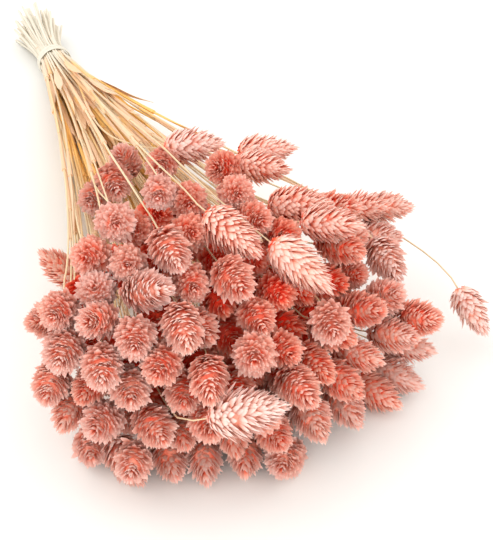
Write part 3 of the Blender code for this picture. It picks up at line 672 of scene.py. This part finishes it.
def head_scales(base, tip, radius, deep, pale, rng):
    """All the scales of one head, winding up it, each a pointed boat with its keel outward."""
    way = unit(tip - base)
    length = np.linalg.norm(tip - base)
    side, up = frame_of(way)
    fine = np.linspace(*SCALE_SPAN, 200)
    many = np.interp(fine, *HEAD_PROFILE) / (SCALE_STEPS[deep] * np.interp(fine, *CLOSER)) ** 2
    many = np.cumsum(many) * (fine[1] - fine[0]) * length * math.tau * radius
    count = int(many[-1])
    at = np.interp(np.arange(count) + 0.5, many, fine) + rng.normal(0, STRAY_ALONG, count)
    angle = rng.uniform(0, math.tau) + np.arange(count) * GOLDEN_ANGLE
    angle += rng.normal(0, STRAY_AROUND, count) / (radius * np.interp(at, *HEAD_PROFILE))
    reach = np.interp(at, *HEAD_PROFILE) * radius * rng.normal(1.0, STRAY_REACH, count)
    back = np.interp(at, *SCALE_BACK) * rng.uniform(*STRAY_BACK, count)
    radial = side * np.cos(angle)[:, None] + up * np.sin(angle)[:, None]
    around = np.cross(way, radial)

    def spot(along, out, aside):
        return base + way * (along * length)[:, None] + radial * out[:, None] + around * aside[:, None]
    start = spot(at - back, SCALE_REACHES[0] * reach, 0 * at)
    knee = spot(at - back * KNEE_BACK, SCALE_REACHES[1] * reach, rng.normal(0, STRAY_KNEE, count))
    end = spot(at, SCALE_REACHES[2] * reach, rng.normal(0, STRAY_POINT, count))
    t = np.append(SCALE_ROWS, 1.0)[None, :, None]
    mid = (1 - t) ** 2 * start[:, None] + 2 * t * (1 - t) * knee[:, None] + t ** 2 * end[:, None]
    run = unit((1 - t) * (knee - start)[:, None] + t * (end - knee)[:, None])
    roll = rng.normal(0, STRAY_ROLL, count)
    across = around * np.cos(roll)[:, None] + radial * np.sin(roll)[:, None]
    across = unit(across[:, None] - run * (across[:, None] * run).sum(-1, keepdims=True))
    outward = np.cross(across, run)
    wide = SCALE_WIDTH * np.interp(at, *NARROWER) * rng.uniform(*STRAY_WIDTH, count)
    half = (wide[:, None] * SCALE_WIDTHS)[..., None] / 2
    body, across, outward = mid[:, :-1], across[:, :-1] * half, outward[:, :-1] * half * KEEL
    ring = np.stack([body - across - outward, body + outward, body + across - outward], 2)
    rows = len(SCALE_ROWS)
    verts = np.concatenate([ring.reshape(count, rows * 3, 3), mid[:, -1:]], 1)
    last, point = (rows - 1) * 3, rows * 3
    faces = grid(3, rows)
    faces += [(last, last + 1, point), (last + 1, last + 2, point), (last + 2, last, point), (2, 1, 0)]
    points = point + 1
    values = np.stack([np.tile(np.append(np.repeat(SCALE_ROWS, 3), 1.0), count),
                       np.tile(np.append(np.tile([1.0, 0.0, 1.0], rows), 0.0), count),
                       np.repeat(rng.uniform(0, 1, count), points), np.full(count * points, pale)], 1)
    faces = [tuple(v + i * points for v in face) for i in range(count) for face in faces]
    return verts.reshape(-1, 3), faces, values


def head_core(base, tip, radius, pale, rng):
    """The dense middle of a head, which shows only in the gaps between scales."""
    way = unit(tip - base)
    length = np.linalg.norm(tip - base)
    side, up = frame_of(way)
    angles = math.tau * np.arange(CORE_ROUND) / CORE_ROUND
    circle = side * np.cos(angles)[:, None] + up * np.sin(angles)[:, None]
    verts = [base + way * length * CORE_ENDS[0]]
    for at, share in CORE:
        verts += list(base + way * length * at + circle * (radius * share * np.interp(at, *HEAD_PROFILE)))
    verts.append(base + way * length * CORE_ENDS[1])
    end = len(verts) - 1
    last = end - CORE_ROUND
    faces = grid(CORE_ROUND, len(CORE), 1)
    for k in range(CORE_ROUND):
        j = (k + 1) % CORE_ROUND
        faces += [(0, 1 + j, 1 + k), (end, last + k, last + j)]
    values = np.stack([rng.uniform(*CORE_TONES, len(verts)), rng.uniform(0, 1, len(verts)),
                       rng.uniform(0, 1, len(verts)), np.full(len(verts), pale)], 1)
    return np.array(verts), faces, values


class Shape:
    """Gathers points, faces and surface values, and makes one mesh object of them."""

    def __init__(self, names):
        self.names = names
        self.verts = []
        self.faces = []
        self.values = []
        self.count = 0

    def add(self, verts, faces, values):
        verts = np.array(verts, float)
        self.faces += [tuple(v + self.count for v in face) for face in faces]
        self.verts.append(verts)
        self.values.append(values)
        self.count += len(verts)

    def make(self, name, surface, slot, sharp, node):
        """The mesh in the place of its node, kept inside the box of the solids."""
        verts = np.clip(np.concatenate(self.verts) + shift, *[list(corner) for corner in cad_box])
        mesh = bpy.data.meshes.new(name)
        mesh.from_pydata(verts.tolist(), [], self.faces)
        values = np.concatenate(self.values)
        for k, label in enumerate(self.names):
            mesh.attributes.new(label, "FLOAT", "POINT").data.foreach_set("value", values[:, k].astype(np.float32))
        mesh.shade_smooth()
        mesh.set_sharp_from_angle(angle=math.radians(sharp))
        mesh.materials.append(surface)
        piece = bpy.data.objects.new(name, mesh)
        bpy.context.scene.collection.objects.link(piece)
        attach(piece, "root")
        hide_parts(node)


class Value:
    """A number that varies over a surface, which the usual operators work on."""

    def __init__(self, look, socket):
        self.look, self.socket = look, socket

    def maths(self, operation, first, second=0.0):
        made = self.look.node("ShaderNodeMath", {"operation": operation}, {0: first, 1: second})
        return Value(self.look, made.outputs[0])

    def __add__(self, other):
        return self.maths("ADD", self, other)

    def __sub__(self, other):
        return self.maths("SUBTRACT", self, other)

    def __rsub__(self, other):
        return self.maths("SUBTRACT", other, self)

    def __mul__(self, other):
        return self.maths("MULTIPLY", self, other)

    __radd__, __rmul__ = __add__, __mul__

    def wave(self, turns):
        """A ripple from 0 to 1 with so many turns for each unit."""
        return self.maths("SINE", self * (math.tau * turns)) * 0.5 + 0.5

    def between(self, low, high):
        """0 below low, 1 above high, with a soft step from one to the other."""
        made = self.look.node("ShaderNodeMapRange", {"interpolation_type": "SMOOTHSTEP"},
                              {"Value": self, "From Min": low, "From Max": high})
        return Value(self.look, made.outputs[0])


class Look:
    """One material and the nodes that make its finish."""

    def __init__(self, name, **settings):
        self.material = bpy.data.materials.new(name)
        self.material.use_nodes = True
        self.tree = self.material.node_tree
        self.shader = self.tree.nodes["Principled BSDF"]
        for label, value in settings.items():
            self.shader.inputs[label.replace("_", " ")].default_value = value

    def node(self, kind, settings, sockets):
        """A node of a kind, with its settings and then the values or links of its sockets."""
        made = self.tree.nodes.new(kind)
        for label, value in settings.items():
            if label == "stops":
                ramp = made.color_ramp
                while len(ramp.elements) < len(value):
                    ramp.elements.new(1.0)
                for element, (place, colour) in zip(ramp.elements, value):
                    element.position, element.color = place, (*colour, 1.0)
            else:
                setattr(made, label, value)
        for label, value in sockets.items():
            self.feed(made.inputs[label], value)
        return made

    def feed(self, socket, value):
        if isinstance(value, Value):
            value = value.socket
        if isinstance(value, bpy.types.NodeSocket):
            self.tree.links.new(value, socket)
        else:
            socket.default_value = (*value, 1.0) if isinstance(value, tuple) and len(value) == 3 else value

    def finish(self, **sockets):
        for label, value in sockets.items():
            self.feed(self.shader.inputs[label.replace("_", " ")], value)
        return self.material

    def reading(self, name):
        return Value(self, self.node("ShaderNodeAttribute", {"attribute_name": name}, {}).outputs["Fac"])

    def noise(self, scale, detail=2.0, where=None):
        place = where or self.node("ShaderNodeTexCoord", {}, {}).outputs["Object"]
        made = self.node("ShaderNodeTexNoise", {}, {"Vector": place, "Scale": scale, "Detail": detail})
        return Value(self, made.outputs[0])

    def place(self, x, y, z):
        return self.node("ShaderNodeCombineXYZ", {}, {0: x, 1: y, 2: z}).outputs[0]

    def ramp(self, value, *stops):
        return self.node("ShaderNodeValToRGB", {"stops": stops}, {"Fac": value}).outputs["Color"]

    def mix(self, share, first, second):
        return self.node("ShaderNodeMix", {"data_type": "RGBA"}, {0: share, 6: first, 7: second}).outputs[2]

    def bump(self, height, strength, depth):
        made = self.node("ShaderNodeBump", {}, {"Height": height, "Strength": strength, "Distance": depth})
        return made.outputs["Normal"]


def dyed_scales():
    """Papery scales, deep red where they are rooted and pink toward the point, the red partly dye and partly
    painted shade of the crevices, with coral edges of painted shade, heads paled partly by painted light, and fine
    ribs along them.
    """
    look = Look("dyed_scales", Specular_IOR_Level=0.0)
    along, edge, shade, pale = (look.reading(name) for name in HEAD_VALUES)
    fibre = look.noise(1.0, 2.0, look.place(edge * 9.0, along * 1.2, shade * 40.0))
    lift = along + (shade - 0.5) * 0.20 + (fibre - 0.5) * 0.16 + (pale - 0.1) * 0.5
    # root to point: the deep red at the roots is partly dye, partly painted shade of the crevices between scales
    colour = look.ramp(lift, *DYE_AND_CREVICE_SHADE_TONES)
    # painted shade: coral toward the side edges of each scale, where the scales overlap
    colour = look.mix(edge.between(0.55, 1.0) * (1 - along.between(0.8, 1.0)) * 0.3, colour, EDGE_PAINTED_SHADE)
    # pale heads: partly their own faded dye, partly painted light on heads further out and toward -X
    colour = look.mix(pale * along.between(0.3, 0.8) * 0.9, colour, FADED_DYE_AND_PAINTED_LIGHT)
    colour = look.mix(look.noise(55.0, 2.0).between(0.45, 0.75) * 0.20, colour, UNEVEN_PEACH)
    return look.finish(Base_Color=colour, Roughness=0.55 + fibre * 0.25,
                       Normal=look.bump(edge.wave(3.5) * 0.6 + fibre * 0.6, 0.4, 0.0002))


def straw(name, tones, tip_tone, rough=0.55):
    """Dry straw: cream at the cut ends, orange inside the fan as painted shade among the buried stems, with long
    fibres and darker joints.
    """
    look = Look(name, Specular_IOR_Level=0.2)
    along, around, shade, joint = (look.reading(label) for label in STRAW_VALUES)
    fibre = look.noise(1.0, 3.0, look.place(around * 14.0, along * 5.0, shade * 60.0))
    blotch = look.noise(1.0, 2.0, look.place(around * 2.0, along * 9.0, shade * 60.0 + 7.0))
    # painted shade: stems low in the fan carry a high shade value, which turns them orange here and in the tones
    painted_fan_shade = shade.between(0.32, 0.62) * along.between(0.12, 0.3) * (1 - along.between(0.5, 0.65))
    colour = look.ramp(shade * 0.6 + blotch * 0.5, *tones)
    colour = look.mix(along.between(0.20, 0.60) * 0.65, colour, tip_tone)
    colour = look.mix((1 - along.between(0.10, 0.30)) * 0.85, colour, CUT_END_CREAM)
    colour = look.mix((1 - fibre.between(0.35, 0.6)) * 0.22, colour, FIBRE_BROWN)
    colour = look.mix(painted_fan_shade * 0.95, colour, FAN_PAINTED_SHADE)
    colour = look.mix(joint * 0.5, colour, JOINT_BROWN)
    return look.finish(Base_Color=colour, Roughness=rough - 0.1 + fibre * 0.25,
                       Normal=look.bump(fibre + around.wave(9.0) * 0.3, 0.5, 0.0003))


def smooth(points, places):
    """Points at the given shares of a smooth curve through some points, and the length of the curve."""
    points = np.asarray(points, float)
    whole = np.concatenate([[2 * points[0] - points[1]], points, [2 * points[-1] - points[-2]]])
    t = np.linspace(0, 1, 9)[:-1, None]
    fine = []
    for a, b, c, d in zip(whole, whole[1:], whole[2:], whole[3:]):
        square, cube = 2 * a - 5 * b + 4 * c - d, 3 * b - a - 3 * c + d
        fine.append(0.5 * (2 * b + (c - a) * t + square * t ** 2 + cube * t ** 3))
    fine = np.concatenate(fine + [points[-1:]])
    far = np.concatenate([[0], np.cumsum(np.linalg.norm(np.diff(fine, axis=0), axis=1))])
    return np.stack([np.interp(np.asarray(places) * far[-1], far, fine[:, k]) for k in range(3)], 1), far[-1]


def tube(shape, points, radii, columns, shade, along, joint, flat=1.0, turn=0.0):
    """A closed tube through the points."""
    ways = unit(np.gradient(points, axis=0))
    sides = [frame_of(ways[0])[0]]
    for way in ways[1:]:
        sides.append(unit(sides[-1] - way * (sides[-1] @ way)))
    sides = np.array(sides)
    ups = np.cross(sides, ways)
    angles = turn + math.tau * np.arange(columns) / columns
    ring = sides[:, None] * np.cos(angles)[None, :, None] + ups[:, None] * (flat * np.sin(angles))[None, :, None]
    verts = (points[:, None] + ring * np.asarray(radii)[:, None, None]).reshape(-1, 3)
    rows = len(points)
    faces = [face[::-1] for face in grid(columns, rows)]
    faces += [tuple(range(columns)), tuple((rows - 1) * columns + k for k in reversed(range(columns)))]
    around = np.tile(np.abs(2 * np.arange(columns) / columns - 1), rows)
    shape.add(verts, faces, np.stack([np.repeat(along, columns), around, np.full(rows * columns, shade),
                                      np.repeat(joint, columns)], 1))


def ribbon(shape, points, normals, widths, thick, cup, shade, along):
    """A closed thin strip: a dry leaf, cupped along its middle."""
    ways = unit(np.gradient(points, axis=0))
    sides = unit(np.cross(ways, normals))
    faces_up = np.cross(sides, ways)
    places = np.array([-1, -0.5, 0, 0.5, 1, 0.5, 0, -0.5])
    depth = np.array([0, 0.5, 0.7, 0.5, 0, -0.5, -0.3, -0.5]) * thick
    curve = -cup * places ** 2
    verts = (points[:, None] + sides[:, None] * (places[None] * widths[:, None] / 2)[..., None]
             + faces_up[:, None] * (depth[None] + curve[None] * widths[:, None])[..., None])
    rows, columns = len(points), len(places)
    faces = grid(columns, rows)
    faces += [tuple(reversed(range(columns))), tuple((rows - 1) * columns + k for k in range(columns))]
    values = np.stack([np.repeat(along, columns), np.tile(np.abs(places), rows), np.full(rows * columns, shade),
                       np.zeros(rows * columns)], 1)
    shape.add(verts.reshape(-1, 3), faces, values)


def left_leaves(line, flat, size, owner, rng):
    """The larger leaves, where the solids have them: the run of each, the side it bends to and its width."""
    rng.uniform(0, math.tau, STALKS)
    for _ in range(BUTTS):
        rng.uniform(*BUTT_LENGTHS)
        rng.normal(size=3)
        rng.uniform(0, math.tau)
    lines = [plain_line(line[i], flat, size, owner == i) for i in range(STALKS)]
    found = []
    ways = np.array([unit(points[1] - points[0]) for points in lines])
    upper = np.argsort(-ways[:, 2], kind="stable")[:len(lines) // LEAFY_SHARE]
    for stem in rng.permutation(upper):
        way = ways[stem]
        up_stem = rng.uniform(*LEAF_PLACES)
        if np.linalg.norm(lines[stem][1] - lines[stem][0]) < up_stem + BLADE_WIDTH:
            continue
        root = lines[stem][0] + way * up_stem
        out = unit((root - (0, root[1], TIE_HEIGHT)) * (1, 0, 1) + (0, 0, BLADE_WIDTH))
        long = rng.uniform(*BLADE_LENGTHS)
        points = root + way * long * BLADE_STEPS + out * long * BLADE_LIFT * BLADE_STEPS ** 2
        reach = min(clearance(a, b, flat, size) for a, b in zip(points, points[1:]))
        if reach > BLADE_WIDTH and points[:, 2].min() > BLADE_WIDTH:
            found.append((points, out, BLADE_WIDTH * rng.uniform(*BLADE_SCATTER)))
        if len(found) == LEAVES:
            break
    return found


def large_blades(blades, found, rng):
    """The larger leaves, broad in their first half and drawn out to a point."""
    for points, out, width in found:
        t = np.linspace(0, 1, 18)
        points, _ = smooth(points, t)
        normals = np.broadcast_to(out, points.shape) + rng.normal(0, 0.12, 3) * np.sin(t * 5)[:, None]
        widths = width * np.interp(t, [0, 0.1, 0.35, 0.7, 1], [0.3, 0.62, 1.0, 0.8, 0.06])
        shade = 0.5 * rng.uniform()
        ribbon(blades, points, normals, widths, 0.25 * MM, 0.10, shade, np.interp(t, [0, 1], [0.3, 0.6]))


def small_blade(blades, route, total, high, sizes, deep, rng):
    """A dry leaf that lies along its stem, turning a little and lifting off toward its point."""
    reach, width, lift = (rng.uniform(*span) * MM for span in sizes)
    spots = np.linspace(high - 0.01, min(high + reach / total, LEAF_END), LEAF_RINGS)
    points, _ = smooth(route, spots)
    t = np.linspace(0, 1, LEAF_RINGS)[:, None]
    side, up = frame_of(unit(points[-1] - points[0]))
    lean = rng.uniform(0, math.tau)
    points = points + (side * math.cos(lean) + up * math.sin(lean)) * (0.6 * MM + t ** 1.5 * lift)
    twist = lean + rng.uniform(-1.6, 1.6) * t
    widths = width * np.interp(t[:, 0], [0, 0.12, 0.5, 0.85, 1], [0.5, 0.9, 1, 0.55, 0.08])
    normals = side * np.cos(twist) + up * np.sin(twist)
    ribbon(blades, points, normals, widths, 0.16 * MM, 0.16, deep + 0.5 * rng.uniform(), spots)


def cut_end(rel, rng):
    """The far end of a stem beyond the tie, and the knee where it starts to flare."""
    long = rng.uniform(*BUTT_LENGTHS) * (1 - BUTT_EVEN * np.linalg.norm(rel))
    drift, reach, wide = BUTT_KNEE
    stray = rng.normal(size=3) * (BUTT_STRAY, 0, BUTT_STRAY)
    end = np.array([BUTT_DRIFT, long, TIE_HEIGHT]) + rel * BUTT_FLARE + stray
    knee = np.array([BUTT_DRIFT * drift, long * reach, TIE_HEIGHT]) + rel * WAIST_RADIUS * wide
    return end, knee


def bare_stem(stems, route, total, joints, shade, rng):
    """One stem, swollen at its joints, and the places and radii of its rings."""
    places = np.concatenate([np.linspace(0, 1, STEM_RINGS)] + [joint + JOINT_RINGS / total for joint in joints])
    places = np.unique(np.clip(places, 0, 1))
    points, _ = smooth(route, places)
    near = np.exp(-(np.abs(places[:, None] - joints) * total / JOINT_LENGTH) ** 2).max(1)
    radii = np.interp(places, *STEM_SIZES) * rng.uniform(*STEM_SCATTER)
    swollen = radii * (1 + JOINT_SWELL * near)
    tube(stems, points, swollen, STEM_ROUND, shade, places, near, turn=rng.uniform(0, 1))
    return places, radii


def sheath(sheaths, route, total, joint, places, radii, deep, rng):
    """The sheath that hugs the stem above a joint, and how far up it ends."""
    high = min(joint + rng.uniform(*SHEATH_LENGTHS) * MM / total, SHEATH_END)
    spots = np.linspace(joint, high, SHEATH_RINGS)
    points, _ = smooth(route, spots)
    loose = np.interp(spots, [joint, joint + 0.012, high - 0.03, high], [0.1, 0.32, 0.5, 0.85]) * MM
    shade = deep + 0.5 * rng.uniform()
    tube(sheaths, points, np.interp(spots, places, radii) + loose, SHEATH_ROUND, shade, spots,
         np.zeros(SHEATH_RINGS), flat=SHEATH_FLAT, turn=rng.uniform(0, 3))
    return high


def stalks(line, base, tip, rng):
    """Every stem from its cut end through the tie to its head, with its joints, sheaths and small dry leaves."""
    stems, sheaths, blades = Shape(STRAW_VALUES), Shape(STRAW_VALUES), Shape(STRAW_VALUES)
    for i in range(STALKS):
        rel = (line[i, 0] - (0, 0, TIE_HEIGHT)) / WAIST_RADIUS
        inner = abs(rel[0]) < NOT_AT_SIDES
        into_head = base[i] + unit(tip[i] - base[i]) * INTO_HEAD
        route = np.concatenate([cut_end(rel, rng), line[i], [into_head]])
        total = smooth(route, [0.0])[1]
        # how low in the bundle a stem lies; it goes into the shade value and is painted as orange shade by the
        # straw finish
        deep = 0.5 * float(np.clip(1.2 - 1.6 * rel[2], 0, 1)) * float(np.linalg.norm(rel) < 0.82)
        shade = deep + 0.5 * rng.uniform()
        joints = np.array([rng.uniform(*span) for span in JOINT_PLACES])
        places, radii = bare_stem(stems, route, total, joints, shade, rng)
        for joint in joints:
            if rng.uniform() > SHEATHED:
                continue
            high = sheath(sheaths, route, total, joint, places, radii, deep, rng)
            if rng.uniform() < LEAFY and high < 0.66 and inner:
                small_blade(blades, route, total, high, LEAF_FROM_SHEATH, deep, rng)
        for _ in range(2):
            if rng.uniform() < LEAFY and rel[2] < 0.45 and inner:
                small_blade(blades, route, total, rng.uniform(*LEAF_STARTS), LEAF_ON_STEM, deep, rng)
    return stems, sheaths, blades


def wound_tie(rng):
    """Turns of a flat strand round the waist, wandering a little."""
    shape = Shape(STRAW_VALUES)
    a = math.tau * np.arange(TIE_STEPS) / TIE_STEPS
    out = np.stack([np.cos(a), np.zeros(TIE_STEPS), np.sin(a)], 1)
    angles = math.tau * np.arange(STRAND_ROUND) / STRAND_ROUND
    wide = np.array([0, 1, 0]) * (STRAND_WIDE * np.cos(angles))[None, :, None]
    thick = out[:, None] * (STRAND_THICK * np.sin(angles))[None, :, None]
    faces = []
    for k in range(TIE_STEPS):
        for c in range(STRAND_ROUND):
            here, there = k * STRAND_ROUND, (k + 1) % TIE_STEPS * STRAND_ROUND
            d = (c + 1) % STRAND_ROUND
            faces.append((here + c, there + c, there + d, here + d))
    along = np.repeat(np.abs(np.linspace(-1, 1, TIE_STEPS)), STRAND_ROUND) * 0.1
    around = np.tile(np.abs(np.cos(angles)), TIE_STEPS)
    points = TIE_STEPS * STRAND_ROUND
    for turn in range(TIE_TURNS):
        y = (turn - TIE_TURNS // 2) * STRAND_STEP + STRAND_WANDER * np.sin(a * 2 + turn)
        r = TIE_HEIGHT - STRAND_SET_IN + STRAND_SWELL * np.sin(a * 3 + 2 * turn)
        middle = out * r[:, None] + np.stack([0 * y, y, 0 * y + TIE_HEIGHT], 1)
        values = np.stack([along, around, np.full(points, rng.uniform()), np.zeros(points)], 1)
        shape.add((middle[:, None] + wide + thick).reshape(-1, 3), faces, values)
    return shape


def paleness_with_painted_light(i, foot, out, rng):
    """How pale a head is: as the table says, or by a rule with some random spread, whose paleness further out and
    further toward -X is painted light; deep heads get painted shade.
    """
    # painted light by place: paler further out and further toward -X
    ruled = rng.normal(0.22, 0.12) + 0.8 * (out - 0.95) - 1.2 * (foot[0] + 0.03)
    # painted shade: deep heads are coloured redder and darker
    return PALE_HEADS.get(i, np.clip(ruled, 0, MOST_PALE)) - DEEP_PAINTED_SHADE * (out < OUTSIDE)


# the heads and stems lie where the same rule lays them for the solids
base, tip, length, radius = first_heads()
base, tip = settle(base, tip, length, radius, *HEADS_ALONE)
groups, pairs = bunches(base, tip, radius)
line = easy_stems(stem_starts(base), base, tip)
base, tip = settle(base, tip, length, radius, *HEADS_AND_STEMS, pairs, line)
low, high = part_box("tie")
shift = np.array([(low.x + high.x) / 2, (low.y + high.y) / 2, 0.0])

rng = np.random.default_rng(SEED + 2)
pink = dyed_scales()
far_out = np.linalg.norm(((base + tip) / 2 - MASS_CENTRE) @ mass_swing().T / MASS_HALF, axis=-1)
for number, group in enumerate(sorted(groups, key=min), 1):
    shape = Shape(HEAD_VALUES)
    for i in group:
        pale = paleness_with_painted_light(i, base[i], far_out[i], rng)
        wide = radius[i] * rng.uniform(*SLIMMER)
        shape.add(*head_core(base[i], tip[i], wide, pale, rng))
        shape.add(*head_scales(base[i], tip[i], wide, int(far_out[i] < OUTSIDE), pale, rng))
    shape.make(f"scaly_heads_{number:02d}", pink, "pink_heads", 52, f"heads_{number:02d}")

stems, sheaths, blades = stalks(line, base, tip, rng)
centres = ball_centres(base, tip).reshape(-1, 3)
owner = np.repeat(np.arange(STALKS), len(BALL_PLACES))
found = left_leaves(line, centres, ball_sizes(radius), owner, np.random.default_rng(SEED + 1))
large_blades(blades, found, rng)
stems.make("straw_stems", straw("straw_stems", STEM_TONES, STEM_TIP), "straw", 50, "stems")
sheaths.make("leaf_sheaths", straw("leaf_sheaths", SHEATH_TONES, SHEATH_TIP), "straw", 50, "stems")
blades.make("dry_leaves", straw("dry_leaves", SHEATH_TONES, LEAF_TIP), "straw", 50, "stems")
wound_tie(rng).make("raffia_tie", straw("raffia", TIE_TONES, TIE_TIP), "tie_cream", 50, "tie")

floor_mesh = bpy.data.meshes.new("floor")
corners = [(x * FLOOR_HALF, y * FLOOR_HALF, 0) for x, y in ((-1, -1), (1, -1), (1, 1), (-1, 1))]
floor_mesh.from_pydata(corners, [], [(0, 1, 2, 3)])
floor_mesh.materials.append(Look("pale_floor", Base_Color=FLOOR_TONE, Roughness=0.7).material)
floor = bpy.data.objects.new("floor", floor_mesh)
floor.location.z = -FLOOR_DROP
bpy.context.scene.collection.objects.link(floor)

world = bpy.data.worlds.new("soft_studio")
world.use_nodes = True
world.node_tree.nodes["Background"].inputs["Color"].default_value = ROOM_TONE
world.node_tree.nodes["Background"].inputs["Strength"].default_value = ROOM_LIGHT
bpy.context.scene.world = world
bpy.context.scene.view_settings.view_transform = "Standard"

for name, power, size, place in LAMPS:
    panel = bpy.data.lights.new(name, "AREA")
    panel.size = size
    panel.energy = power
    lamp = bpy.data.objects.new(name, panel)
    lamp.location = place
    lamp.rotation_euler = (Vector(shift + LAMPS_AIM) - lamp.location).to_track_quat("-Z", "Y").to_euler()
    bpy.context.scene.collection.objects.link(lamp)

back = Vector(toward_eye())
camera_data = bpy.data.cameras.new("camera")
camera_data.sensor_width = SENSOR
camera_data.lens = VIEW_STEPS / PICTURE_TALL * SENSOR
camera_data.shift_x = (PICTURE_WIDE / 2 - VIEW_MIDDLE[0]) / PICTURE_TALL
camera_data.shift_y = (VIEW_MIDDLE[1] - PICTURE_TALL / 2) / PICTURE_TALL
camera_data.clip_start = 0.01
camera = bpy.data.objects.new("camera", camera_data)
camera.location = Vector(shift + EYE_AIM) + back * EYE_AWAY
camera.rotation_euler = (-back).to_track_quat("-Z", "Y").to_euler()
bpy.context.scene.collection.objects.link(camera)
bpy.context.scene.camera = camera
